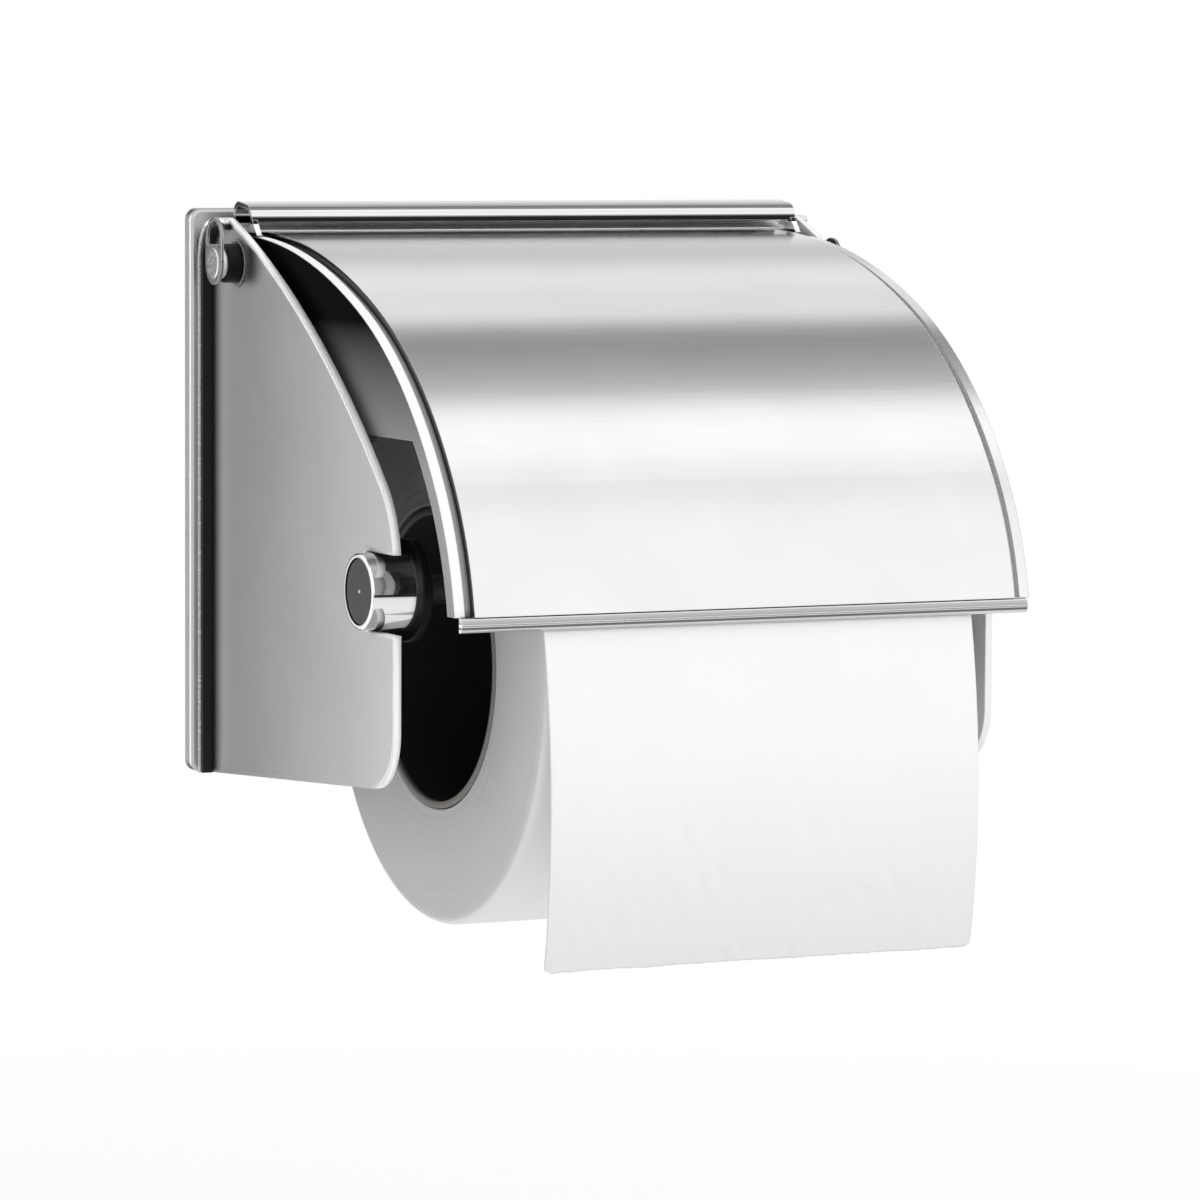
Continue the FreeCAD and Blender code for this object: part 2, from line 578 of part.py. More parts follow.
def pivot_clip():
    """The keyhole clip round the pin's head, with an open window above the head."""
    x_low = -PIN_HEAD_OUTER_X + PIN_HEAD_PROUD
    x_high = x_low + CLIP_THICKNESS
    top_z = PIVOT_Z + CLIP_RISE
    window_radius = CLIP_RADIUS - CLIP_WALL
    outer = rod_x(CLIP_RADIUS, x_low, x_high, PIVOT_Y, PIVOT_Z)
    outer = outer.fuse(rod_x(CLIP_RADIUS, x_low, x_high, PIVOT_Y, top_z))
    outer = outer.fuse(box((x_low, PIVOT_Y - CLIP_RADIUS, PIVOT_Z),
                           (x_high, PIVOT_Y + CLIP_RADIUS, top_z)))
    sill_z = PIVOT_Z + PIN_HEAD_RADIUS + CLIP_WALL
    window = rod_x(window_radius, x_low - EXTRA, x_high + EXTRA, PIVOT_Y, top_z)
    window = window.fuse(box((x_low - EXTRA, PIVOT_Y - window_radius, sill_z),
                             (x_high + EXTRA, PIVOT_Y + window_radius, top_z)))
    below = box((x_low - EXTRA, PIVOT_Y - CLIP_RADIUS, PIVOT_Z - CLIP_RADIUS),
                (x_high + EXTRA, PIVOT_Y + CLIP_RADIUS, sill_z))
    head_hole = rod_x(PIN_HEAD_RADIUS, x_low - EXTRA, x_high + EXTRA, PIVOT_Y, PIVOT_Z)
    return outer.removeSplitter().cut(window.cut(below)).cut(head_hole)


def clip_on_side(side):
    """The left clip stands up from its pin, and the right one hangs down."""
    clip = on_side(pivot_clip(), side)
    if side > 0:
        clip.rotate(vector(0, PIVOT_Y, PIVOT_Z), vector(1, 0, 0), 180)
    return clip


def pivot_spacer():
    """The washer that keeps the hood's ear off the cheek."""
    x_high = -HOOD_HALF_WIDTH - SIDE_GAP
    return ring_x(WASHER_RADIUS, PIN_RADIUS, -CHEEK_INNER_X, x_high, PIVOT_Y, PIVOT_Z)


def push_nut():
    """The push nut that holds the pin inside the ear."""
    x_low = -BAND_INNER_X + SIDE_GAP
    nut = ring_x(PUSH_NUT_RADIUS, PIN_RADIUS, x_low, x_low + PUSH_NUT_THICKNESS, PIVOT_Y, PIVOT_Z)
    rim = edges_where(nut, lambda b: b.XMin > x_low + PUSH_NUT_THICKNESS - PICK
                      and b.YLength > 2 * PIN_RADIUS + EXTRA)
    return nut.makeChamfer(PUSH_NUT_CHAMFER, rim)


def both_sides(shape):
    return Part.makeCompound([shape, mirrored(shape)])


def knob_body():
    """The tapered knob, seen as the left one, from its inner end to its outer end."""
    length = KNOB_OUTER_X - KNOB_INNER_X
    cone = Part.makeCone(KNOB_OUTER_RADIUS, KNOB_INNER_RADIUS, length,
                         vector(-KNOB_OUTER_X, SPINDLE_Y, SPINDLE_Z), vector(1, 0, 0))
    rim = edges_where(cone, lambda b: b.XMax < -KNOB_OUTER_X + PICK)
    return cone.makeFillet(KNOB_RIM_ROUNDING, rim)


def spindle_knob():
    """The left knob, hollowed for the release button, on the end of the rod."""
    recess_radius = KNOB_OUTER_RADIUS - KNOB_RIM_WALL
    floor_x = -KNOB_OUTER_X + KNOB_FLOOR_DEPTH
    recess = rod_x(recess_radius, -KNOB_OUTER_X - EXTRA, floor_x, SPINDLE_Y, SPINDLE_Z)
    inner_x = -KNOB_INNER_X + EXTRA
    rod_hole = rod_x(SPINDLE_ROD_RADIUS, floor_x - EXTRA, inner_x, SPINDLE_Y, SPINDLE_Z)
    return knob_body().cut(recess).cut(rod_hole)


def spindle_button():
    """The dark disc in the left knob's end, with a tiny pip in its middle."""
    radius = KNOB_OUTER_RADIUS - KNOB_RIM_WALL - BUTTON_CLEARANCE
    face_x = -KNOB_OUTER_X + BUTTON_SUNK
    disc = rod_x(radius, face_x, face_x + BUTTON_THICKNESS, SPINDLE_Y, SPINDLE_Z)
    rim = edges_where(disc, lambda b: b.XMax < face_x + PICK)
    disc = disc.makeFillet(BUTTON_ROUNDING, rim)
    pip = Part.makeSphere(BUTTON_PIP_RADIUS, vector(face_x + BUTTON_PIP_RADIUS / 2, SPINDLE_Y, SPINDLE_Z))
    return disc.fuse(pip).removeSplitter()


def spindle_end_knob():
    """The right knob, plain, with a blind hole for the rod."""
    rod_hole = rod_x(SPINDLE_ROD_RADIUS, -KNOB_OUTER_X + KNOB_FLOOR_DEPTH, -KNOB_INNER_X + EXTRA,
                     SPINDLE_Y, SPINDLE_Z)
    return mirrored(knob_body().cut(rod_hole))


def spindle_rod():
    reach = KNOB_OUTER_X - KNOB_FLOOR_DEPTH
    return rod_x(SPINDLE_ROD_RADIUS, -reach, reach, SPINDLE_Y, SPINDLE_Z)


def spindle_collar():
    """The black disc against the left knob's inner end."""
    collar = ring_x(COLLAR_RADIUS, SPINDLE_ROD_RADIUS, -KNOB_INNER_X, -COLLAR_INNER_X,
                    SPINDLE_Y, SPINDLE_Z)
    rims = edges_where(collar, lambda b: b.YLength > 2 * COLLAR_RADIUS - PICK and b.XLength < PICK)
    return collar.makeFillet(COLLAR_ROUNDING, rims)


def tissue_roll():
    """The wound paper: a thick ring with rounded outer edges."""
    roll = ring_x(ROLL_RADIUS, CORE_INNER_RADIUS + CORE_WALL, ROLL_LEFT_X, ROLL_RIGHT_X, ROLL_Y, ROLL_Z)
    rims = edges_where(roll, lambda b: b.YLength > 2 * ROLL_RADIUS - PICK and b.XLength < PICK)
    return roll.makeFillet(ROLL_EDGE_ROUNDING, rims)


def roll_core():
    return ring_x(CORE_INNER_RADIUS + CORE_WALL, CORE_INNER_RADIUS, ROLL_LEFT_X - CORE_PROUD,
                  ROLL_RIGHT_X + CORE_PROUD, ROLL_Y, ROLL_Z)


def tissue_tail():
    """The loose end of the paper, hanging from the front of the roll."""
    sheet = box((ROLL_LEFT_X, TAIL_Y - TAIL_THICKNESS, TAIL_BOTTOM_Z), (ROLL_RIGHT_X, TAIL_Y, ROLL_Z))
    corners = edges_where(sheet, lambda b: b.ZMax < TAIL_BOTTOM_Z + PICK and b.XLength < PICK)
    return sheet.makeFillet(TAIL_CORNER, corners)


def main():
    os.makedirs("parts", exist_ok=True)
    write("wall_plate", wall_plate())
    names = {-1: "left", 1: "right"}
    for side in (-1, 1):
        name = names[side]
        write(name + "_cheek", on_side(cheek(), side))
        write(name + "_cheek_rim", on_side(rim_band(0.0, RIM_SHEET, RIM_REACH), side))
        seal = rim_band(RIM_SHEET, RIM_SHEET + SEAL_THICKNESS, RIM_REACH - SEAL_INSET)
        write(name + "_cheek_seal", on_side(seal, side))
        write(name + "_hood_ear", on_side(hood_ear(), side))
        write(name + "_pivot_pin", on_side(pivot_pin(), side))
        write(name + "_pivot_bush", on_side(pivot_bush(), side))
        write(name + "_pivot_clip", clip_on_side(side))
        write(name + "_spindle_collar", on_side(spindle_collar(), side))
    write("cheek_rivets", rivets())
    write("pivot_washers", both_sides(pivot_washer()))
    write("pivot_spacers", both_sides(pivot_spacer()))
    write("pivot_push_nuts", both_sides(push_nut()))
    write("hood_cover", hood_cover())
    write("spindle_rod", spindle_rod())
    write("spindle_knob", spindle_knob())
    write("spindle_button", spindle_button())
    write("spindle_end_knob", spindle_end_knob())
    write("tissue_roll", tissue_roll())
    write("roll_core", roll_core())
    write("tissue_tail", tissue_tail())


main()
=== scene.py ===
import math

import bpy
import numpy as np
from mathutils import Matrix, Vector


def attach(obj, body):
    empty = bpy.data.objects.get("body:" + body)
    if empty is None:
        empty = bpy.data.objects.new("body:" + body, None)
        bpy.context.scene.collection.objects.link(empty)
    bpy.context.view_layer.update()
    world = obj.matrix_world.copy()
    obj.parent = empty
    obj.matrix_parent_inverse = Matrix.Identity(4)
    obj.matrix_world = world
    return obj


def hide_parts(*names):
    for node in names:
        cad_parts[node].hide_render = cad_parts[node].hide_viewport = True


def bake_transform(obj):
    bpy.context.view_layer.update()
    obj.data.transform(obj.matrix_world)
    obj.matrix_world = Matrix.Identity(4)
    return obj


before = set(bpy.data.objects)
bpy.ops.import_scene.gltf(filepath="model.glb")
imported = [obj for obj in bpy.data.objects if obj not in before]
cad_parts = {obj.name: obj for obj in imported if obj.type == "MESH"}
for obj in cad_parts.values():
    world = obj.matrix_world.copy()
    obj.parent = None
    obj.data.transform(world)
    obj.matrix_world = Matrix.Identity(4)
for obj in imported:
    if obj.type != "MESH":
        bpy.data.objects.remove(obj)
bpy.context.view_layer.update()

# Sizes repeated from the part's own source, in metres
MM = 0.001
ROLL_AXIS_Y = -71.201 * MM
ROLL_AXIS_Z = -30.576 * MM
ROLL_RADIUS = 55.0 * MM
ROLL_LEFT_X = -45.0 * MM
ROLL_RIGHT_X = 51.0 * MM
ROLL_EDGE_ROUNDING = 2.2 * MM
CORE_INNER_RADIUS = 29.5 * MM
CORE_WALL = 1.4 * MM
TAIL_LENGTH = 58.0 * MM
ROD_AXIS_Y = -91.999 * MM
ROD_AXIS_Z = -14.397 * MM


# Camera, at the photograph's viewing angle

CAMERA_PLACE = Vector((-0.526322, -1.172173, 0.087173))
CAMERA_YAW = math.radians(25.245)
CAMERA_PITCH = math.radians(5.023)
CAMERA_ROLL = math.radians(0.323)
CAMERA_LENS = 176.06


def place_camera():
    """A camera that looks along (sin yaw cos pitch, cos yaw cos pitch, -sin pitch).

    It is then rolled about that line.
    """
    ahead = Vector(
        (
            math.sin(CAMERA_YAW) * math.cos(CAMERA_PITCH),
            math.cos(CAMERA_YAW) * math.cos(CAMERA_PITCH),
            -math.sin(CAMERA_PITCH),
        )
    )
    level = Vector((math.cos(CAMERA_YAW), -math.sin(CAMERA_YAW), 0.0))
    upright = level.cross(ahead)
    right = math.cos(CAMERA_ROLL) * level + math.sin(CAMERA_ROLL) * upright
    up = -math.sin(CAMERA_ROLL) * level + math.cos(CAMERA_ROLL) * upright
    lens = bpy.data.cameras.new("photo_camera")
    lens.lens = CAMERA_LENS
    lens.sensor_width = 36.0
    lens.clip_end = 20.0
    camera = bpy.data.objects.new("photo_camera", lens)
    turned = Matrix((right, up, -ahead)).transposed()
    camera.matrix_world = Matrix.Translation(CAMERA_PLACE) @ turned.to_4x4()
    bpy.context.scene.collection.objects.link(camera)
    bpy.context.scene.camera = camera


place_camera()


# Materials

def linear(hex_colour):
    """An sRGB hex colour as linear red, green and blue with full alpha."""
    parts = []
    for start in (1, 3, 5):
        value = int(hex_colour[start:start + 2], 16) / 255
        parts.append(value / 12.92 if value <= 0.04045 else ((value + 0.055) / 1.055) ** 2.4)
    return (*parts, 1.0)


def add(tree, kind, sockets=None, **settings):
    """Adds one node, sets its properties, and fills its sockets.

    A socket takes a number, a colour or another node's output.
    """
    node = tree.nodes.new(kind)
    for name, value in settings.items():
        setattr(node, name, value)
    for name, value in (sockets or {}).items():
        if isinstance(value, bpy.types.NodeSocket):
            tree.links.new(value, node.inputs[name])
        else:
            node.inputs[name].default_value = value
    return node


def new_material(name):
    """An empty node material and its tree."""
    material = bpy.data.materials.new(name)
    material.use_nodes = True
    material.node_tree.nodes.clear()
    return material, material.node_tree


def close(tree, shader):
    """Ends a material with its surface output."""
    add(tree, "ShaderNodeOutputMaterial", {"Surface": shader.outputs[0]})


def object_point(tree, scale=(1.0, 1.0, 1.0), centre=(0.0, 0.0, 0.0)):
    """The piece's own coordinates in metres, moved by minus centre and stretched."""
    here = add(tree, "ShaderNodeTexCoord")
    moved = add(
        tree, "ShaderNodeVectorMath", {0: here.outputs["Object"], 1: centre}, operation="SUBTRACT"
    )
    return add(tree, "ShaderNodeMapping", {"Vector": moved.outputs[0], "Scale": scale}).outputs[0]


def coordinate(tree, vector, axis):
    """The part of a vector that lies along "X", "Y" or "Z"."""
    return add(tree, "ShaderNodeSeparateXYZ", {0: vector}).outputs[axis]


def distance(tree, vector):
    """The length of a vector."""
    return add(tree, "ShaderNodeVectorMath", {0: vector}, operation="LENGTH").outputs["Value"]


def maths(tree, operation, first, second=0.0):
    """One step of arithmetic on one or two values."""
    return add(tree, "ShaderNodeMath", {0: first, 1: second}, operation=operation).outputs[0]


def spread(tree, value, low, high, out_low, out_high):
    """A value between low and high carried to the range from out_low to out_high."""
    return add(
        tree,
        "ShaderNodeMapRange",
        {"Value": value, "From Min": low, "From Max": high, "To Min": out_low, "To Max": out_high},
    ).outputs[0]


def mixed(tree, share, first, second, blend="MIX"):
    """A colour that goes from the first to the second as share goes from 0 to 1.

    With the blend "MULTIPLY" it goes from the first to the product of the two.
    """
    sockets = {0: share, 6: first, 7: second}
    return add(tree, "ShaderNodeMix", sockets, data_type="RGBA", blend_type=blend).outputs[2]


def noise(tree, point, detail, rough=0.5):
    """Smooth random values, nearly all of them between 0.3 and 0.7, about one grain for each unit."""
    sockets = {"Vector": point, "Scale": 1.0, "Detail": detail, "Roughness": rough}
    return add(tree, "ShaderNodeTexNoise", sockets).outputs[0]


def from_noise(tree, value, low, high):
    """A noise value carried to the range from low to high."""
    return spread(tree, value, 0.3, 0.7, low, high)


def two_tone(tree, value, colours):
    """A colour between two hex colours, by a noise value."""
    return mixed(tree, from_noise(tree, value, 0.0, 1.0), linear(colours[0]), linear(colours[1]))


def bump(tree, height, depth, strength=1.0, onto=None):
    """The normal of a relief whose height runs from 0 to 1 over a depth in metres.

    onto is the normal that it is laid on, where that isn't the plain one.
    """
    sockets = {"Strength": strength, "Distance": depth, "Height": height}
    if onto is not None:
        sockets["Normal"] = onto
    return add(tree, "ShaderNodeBump", sockets).outputs[0]


def ramp(tree, value, stops):
    """A grey by value: each stop (value from 0 to 1, grey) is joined to the next."""
    node = add(tree, "ShaderNodeValToRGB", {0: value})
    elements = node.color_ramp.elements
    while len(elements) > 1:
        elements.remove(elements[-1])
    for number, (place, grey) in enumerate(stops):
        stop = elements[0] if number == 0 else elements.new(place)
        stop.position = place
        stop.color = (grey, grey, grey, 1.0)
    return node.outputs[0]


# Cosines between the plain normal and the bevelled one, on flat metal and on an edge
LEAN_WHEN_FLAT = 0.995
LEAN_AT_EDGE = 0.9


def near_edges(tree, width):
    """1 within about width of a sharp edge and 0 on flat metal, and the softened normal.

    It is how far the bevelled normal leans from the plain one.
    """
    soft = add(tree, "ShaderNodeBevel", {"Radius": width}, samples=4).outputs[0]
    plain = add(tree, "ShaderNodeNewGeometry").outputs["Normal"]
    lean = add(tree, "ShaderNodeVectorMath", {0: soft, 1: plain}, operation="DOT_PRODUCT")
    return spread(tree, lean.outputs["Value"], LEAN_WHEN_FLAT, LEAN_AT_EDGE, 0.0, 1.0), soft


# Painted shade in folds: its colour, and how much open room leaves all of it or none
FOLD_SHADE_COLOUR = "#0B0B0C"
ROOM_IN_FOLD = 0.45
ROOM_IN_OPEN = 0.92


def painted_shade_in_folds(tree, shade, reach, depth):
    """A colour that falls to near black in narrow folds, as painted shade where shade falls.

    reach is how near another surface has to be, and depth how much of the dark is mixed in.
    """
    room = add(tree, "ShaderNodeAmbientOcclusion", {"Distance": reach}, samples=8)
    fold_shade_share = spread(tree, room.outputs["AO"], ROOM_IN_FOLD, ROOM_IN_OPEN, depth, 0.0)
    return mixed(tree, fold_shade_share, shade, linear(FOLD_SHADE_COLOUR))


def by_height(tree, shade, start, finish, other):
    """A colour that turns to another one between two heights, up or down."""
    height = coordinate(tree, object_point(tree), "Z")
    return mixed(tree, spread(tree, height, start, finish, 0.0, 1.0), shade, linear(other))


def painted_bands(tree, shade, lines):
    """A colour dimmed in level bands of painted reflection and shade: each (height in mm, brightness) is
    joined to the next.
    """
    low = lines[0][0]
    reach = lines[-1][0] - low
    in_mm = coordinate(tree, object_point(tree, (1000.0, 1000.0, 1000.0)), "Z")
    stops = [((height - low) / reach, level) for height, level in lines]
    dimming = ramp(tree, spread(tree, in_mm, low, low + reach, 0.0, 1.0), stops)
    return mixed(tree, 1.0, shade, dimming, "MULTIPLY")


# A face looks to the side when the X part of its normal passes from the first share to the second
SIDE_FACE = (0.5, 0.8)
PAINTED_FACE_ROUGHNESS = 0.5
HIGHLIGHT_BAND_BLUR = 0.03 * MM


def steel(
    name,
    colour,
    wear_and_painted_light_colour,
    roughness,
    grain_scale,
    grain_depth,
    edge=0.25 * MM,
    painted_edge_highlight=None,
    painted_shade_by_height=None,
    fold_shade=(2.0 * MM, 0.6),
    wear_and_painted_light=0.6,
    inside=None,
    matt=0.0,
    highlight_matt=0.8,
    lines=(),
    painted_highlight_band=None,
):
    """Stainless or plated steel sheet.

    Two close greys lie in slow patches, with brushed streaks in bump and roughness, paler
    edges, partly wear and partly painted highlight, and painted shade in folds. grain_scale is
    the number of streaks per metre along X, Y and Z, and a small number draws them out.
    painted_edge_highlight is the colour painted as a highlight on the cut edge of a side plate,
    whose faces look away from X, and inside a side (-1 or 1 along X) and the pale colour
    painted as light on the faces that look to it. painted_shade_by_height is two heights and
    the colour of painted shade reached at the second. fold_shade is how near a surface has to
    be to darken this one with painted shade, and by how much. wear_and_painted_light is the
    share of the edge colour on the edges. Those edges and the painted faces are matt by the
    share highlight_matt, so they catch the lamps, and matt is the share of that all over. lines
    are rows of (height, brightness) of painted reflection and shade on a rolled hem, and
    painted_highlight_band two heights between which the sheet is painted white as a highlight.
    """
    material, tree = new_material(name)
    streaks = noise(tree, object_point(tree, grain_scale), 1.0)
    patches = noise(tree, object_point(tree, (45.0, 45.0, 45.0)), 3.0)
    edge_share, soft_normal = near_edges(tree, edge)
    shade = two_tone(tree, patches, colour)
    # Painted bands of reflection and shade, by height
    for row in lines:
        shade = painted_bands(tree, shade, row)
    # Painted shade, reached by height
    if painted_shade_by_height:
        shade = by_height(tree, shade, *painted_shade_by_height)
    # Paler edges: partly wear, partly painted highlight, made matt so they catch the lamps
    matt_share = spread(tree, edge_share, 0.0, 1.0, 0.0, wear_and_painted_light)
    shade = mixed(tree, matt_share, shade, linear(wear_and_painted_light_colour))
    gloss = from_noise(tree, streaks, *roughness)
    sideways = coordinate(tree, add(tree, "ShaderNodeTexCoord").outputs["Normal"], "X")
    painted_faces = []
    # Painted highlight on faces that look away from X, and pale painted light on the inner faces
    if painted_edge_highlight:
        to_side = maths(tree, "ABSOLUTE", sideways)
        painted_faces.append((spread(tree, to_side, *SIDE_FACE, 1.0, 0.0), painted_edge_highlight))
    if inside:
        side, pale = inside
        begins, is_full = (side * share for share in SIDE_FACE)
        painted_faces.append((spread(tree, sideways, begins, is_full, 0.0, 1.0), pale))
    for share, pale in painted_faces:
        shade = mixed(tree, share, shade, linear(pale))
        gloss = spread(tree, share, 0.0, 1.0, gloss, PAINTED_FACE_ROUGHNESS)
        matt_share = maths(tree, "MAXIMUM", matt_share, share)
    # Painted shade: the colour falls towards near black in narrow folds and recesses
    shade = painted_shade_in_folds(tree, shade, *fold_shade)
    # Painted highlight: a white, matt band between two heights
    if painted_highlight_band:
        height = coordinate(tree, object_point(tree), "Z")
        above = spread(tree, height, painted_highlight_band[0], painted_highlight_band[0] + HIGHLIGHT_BAND_BLUR, 0.0, 1.0)
        below = spread(tree, height, painted_highlight_band[1], painted_highlight_band[1] + HIGHLIGHT_BAND_BLUR, 1.0, 0.0)
        band = maths(tree, "MULTIPLY", above, below)
        shade = mixed(tree, band, shade, linear(wear_and_painted_light_colour))
        matt_share = maths(tree, "MAXIMUM", matt_share, band)
    mirror = 1.0 - matt
    shader = add(
        tree,
        "ShaderNodeBsdfPrincipled",
        {
            "Base Color": shade,
            "Metallic": spread(tree, matt_share, 0.0, 1.0, mirror, (1.0 - highlight_matt) * mirror),
            "Roughness": gloss,
            "Specular IOR Level": 0.0,
            "Normal": bump(tree, streaks, grain_depth, onto=soft_normal),
        },
    )
    close(tree, shader)
    return material


def moulded(name, colour, roughness, grain, grain_depth, shine=0.5, painted_glint=None):
    """Moulded plastic or rubber: one dark colour in slow patches over a fine spark-eroded grain.

    grain is the number of grains per metre, shine the specular level, and painted_glint the middle,
    radius and colour of a pale dot painted on the axis along X as a glint.
    """
    material, tree = new_material(name)
    grains = noise(tree, object_point(tree, (grain, grain, grain)), 3.0)
    patches = noise(tree, object_point(tree, (90.0, 90.0, 90.0)), 2.0)
    _, soft_normal = near_edges(tree, 0.2 * MM)
    shade = two_tone(tree, patches, colour)
    # Painted glint: a pale dot on the axis
    if painted_glint:
        middle, radius, pale = painted_glint
        off_axis = distance(tree, object_point(tree, (0.0, 1.0, 1.0), middle))
        glint_share = spread(tree, off_axis, radius, radius * 0.6, 0.0, 1.0)
        shade = mixed(tree, glint_share, shade, linear(pale))
    shader = add(
        tree,
        "ShaderNodeBsdfPrincipled",
        {
            "Base Color": shade,
            "Roughness": from_noise(tree, grains, *roughness),
            "IOR": 1.5,
            "Specular IOR Level": shine,
            "Normal": bump(tree, grains, grain_depth, onto=soft_normal),
        },
    )
    close(tree, shader)
    return material


# Satin stainless sheet, brushed lengthways: even mid grey and fine streaks, with its edges painted white as
# a highlight
CHEEK = steel(
    "brushed_stainless_cheek",
    ("#9D9D9E", "#A2A2A3"),
    "#FFFFFF",
    (0.295, 0.31),
    (60.0, 90.0, 2600.0),
    0.006 * MM,
    edge=1.3 * MM,
    painted_edge_highlight="#FFFFFF",
    wear_and_painted_light=1.0,
    highlight_matt=0.3,
)
# The same sheet for the other cheek, in lighter greys as painted light; its inner face, which is all that
# shows of it, is matt and painted pale over its shade
FAR_CHEEK = steel(
    "brushed_stainless_far_cheek",
    ("#B1B1B2", "#B6B6B7"),
    "#FFFFFF",
    (0.34, 0.36),
    (60.0, 90.0, 2600.0),
    0.006 * MM,
    edge=0.4 * MM,
    painted_edge_highlight="#F8F8F8",
    inside=(-1.0, "#FCFCFC"),
)
# The same sheet, folded into the wall plate, in lighter greys than the cheek's as painted light
PLATE = steel(
    "brushed_stainless_plate",
    ("#B3B3B4", "#B9B9BA"),
    "#F0F0F0",
    (0.34, 0.37),
    (60.0, 90.0, 2600.0),
    0.006 * MM,
)
# Stainless sheet pressed and fine polished: smooth bands of light, almost no grain.
# The rolled hem at the front and the curl at the back get painted bands of reflection and shade by height,
# with painted shade in the groove under the curl
HEM_PAINTED_BANDS = (
    (-20.1, 0.95),
    (-19.5, 0.95),
    (-19.4, 0.22),
    (-19.0, 0.22),
    (-18.9, 1.0),
    (-18.5, 1.0),
    (-18.4, 0.45),
    (-17.6, 0.65),
    (-17.4, 1.0),
    (-17.1, 1.0),
)
CURL_PAINTED_BANDS = (
    (57.3, 1.0),
    (57.4, 0.02),
    (58.7, 0.02),
    (58.8, 0.35),
    (58.95, 0.35),
    (59.05, 1.0),
    (60.2, 1.0),
    (60.3, 0.30),
    (60.5, 0.55),
    (61.6, 0.60),
    (61.8, 1.0),
)
HOOD = steel(
    "polished_stainless_hood",
    ("#CFCFD0", "#D3D3D4"),
    "#FFFFFF",
    (0.15, 0.19),
    (60.0, 1400.0, 1400.0),
    0.004 * MM,
    edge=0.22 * MM,
    fold_shade=(2.6 * MM, 0.92),
    wear_and_painted_light=1.0,
    lines=(HEM_PAINTED_BANDS, CURL_PAINTED_BANDS),
    # Painted highlight: a white band at the foot of the curl
    painted_highlight_band=(55.58 * MM, 57.35 * MM),
)
# The ear is a separate pressing: a tumbled matt plate with painted shade that turns it near black towards
# the pin, and a white edge band painted as a highlight
EAR = steel(
    "tumbled_stainless_ear",
    ("#B4B5B6", "#BCBCBD"),
    "#FFFFFF",
    (0.31, 0.35),
    (60.0, 90.0, 2200.0),
    0.01 * MM,
    edge=0.3 * MM,
    painted_edge_highlight="#FFFFFF",
    painted_shade_by_height=(10.0 * MM, 39.0 * MM, "#111113"),
    fold_shade=(2.0 * MM, 0.92),
    matt=0.95,
)
# The other ear shows only its polished band beside the hood's skin, with its edges painted darker grey as
# shade, and the side of its groove, painted pale as light over the groove's shade
FAR_EAR = steel(
    "polished_stainless_far_ear",
    ("#CFCFD0", "#D3D3D4"),
    "#A8A8A9",
    (0.15, 0.19),
    (60.0, 1400.0, 1400.0),
    0.004 * MM,
    edge=0.2 * MM,
    fold_shade=(1.0 * MM, 0.0),
    wear_and_painted_light=1.0,
    inside=(-1.0, "#F4F4F4"),
)
# Bright rolled strip along the cheek's rear edge, with its edges painted white as a highlight
RIM = steel(
    "bright_stainless_rim",
    ("#E2E2E3", "#E8E8E9"),
    "#FFFFFF",
    (0.20, 0.30),
    (60.0, 900.0, 900.0),
    0.004 * MM,
    edge=0.6 * MM,
    wear_and_painted_light=1.0,
    fold_shade=(1.0 * MM, 0.0),
    matt=0.4,
)
# Turned stainless pin: a fine grain on its head, and its turned side painted white as a highlight
PIN = steel(
    "turned_stainless_pin",
    ("#B4B4B5", "#BEBEBF"),
    "#FFFFFF",
    (0.22, 0.32),
    (900.0, 1500.0, 1500.0),
    0.008 * MM,
    painted_edge_highlight="#FFFFFF",
    fold_shade=(1.0 * MM, 0.3),
)
# Zinc plated rivets and push nuts
FIXING = steel(
    "zinc_plated_fixings",
    ("#B8BABB", "#C4C5C4"),
    "#E6E6E4",
    (0.25, 0.40),
    (1100.0, 1100.0, 1100.0),
    0.01 * MM,
)
# Blued spring steel clips and washers, with pale edges, partly stamping wear and partly painted highlight
CLIP = steel(
    "blued_spring_steel_clip",
    ("#7C7D80", "#87888A"),
    "#F2F2F2",
    (0.25, 0.38),
    (900.0, 900.0, 900.0),
    0.01 * MM,
    edge=0.3 * MM,
    wear_and_painted_light=0.9,
)
# Chrome on a die-cast knob: a mirror with faint buffing marks
KNOB = steel(
    "chromed_zinc_knob",
    ("#D9DADC", "#DDDDDE"),
    "#F4F4F4",
    (0.05, 0.09),
    (500.0, 700.0, 700.0),
    0.002 * MM,
    edge=0.15 * MM,
)
# EPDM rubber strip: matt black
SEAL = moulded("matt_rubber_seal", ("#0B0B0B", "#101010"), (0.55, 0.75), 3000.0, 0.02 * MM, shine=0.3)
# Acetal bushes and collars: black with a soft sheen
BUSH = moulded("acetal_bush", ("#0E0E0F", "#131315"), (0.34, 0.47), 2400.0, 0.01 * MM, shine=0.12)
# ABS button: dark grey, a little glossy, with a painted glint in its middle
BUTTON = moulded(
    "abs_button",
    ("#202123", "#262729"),
    (0.40, 0.50),
    2400.0,
    0.01 * MM,
    shine=0.25,
    painted_glint=((0.0, ROD_AXIS_Y, ROD_AXIS_Z), 0.5 * MM, "#F0F0F0"),
)
# Extruded ABS tube for the rod: black and smooth
ROD = moulded("abs_rod", ("#151516", "#1C1C1D"), (0.30, 0.42), 1800.0, 0.01 * MM)


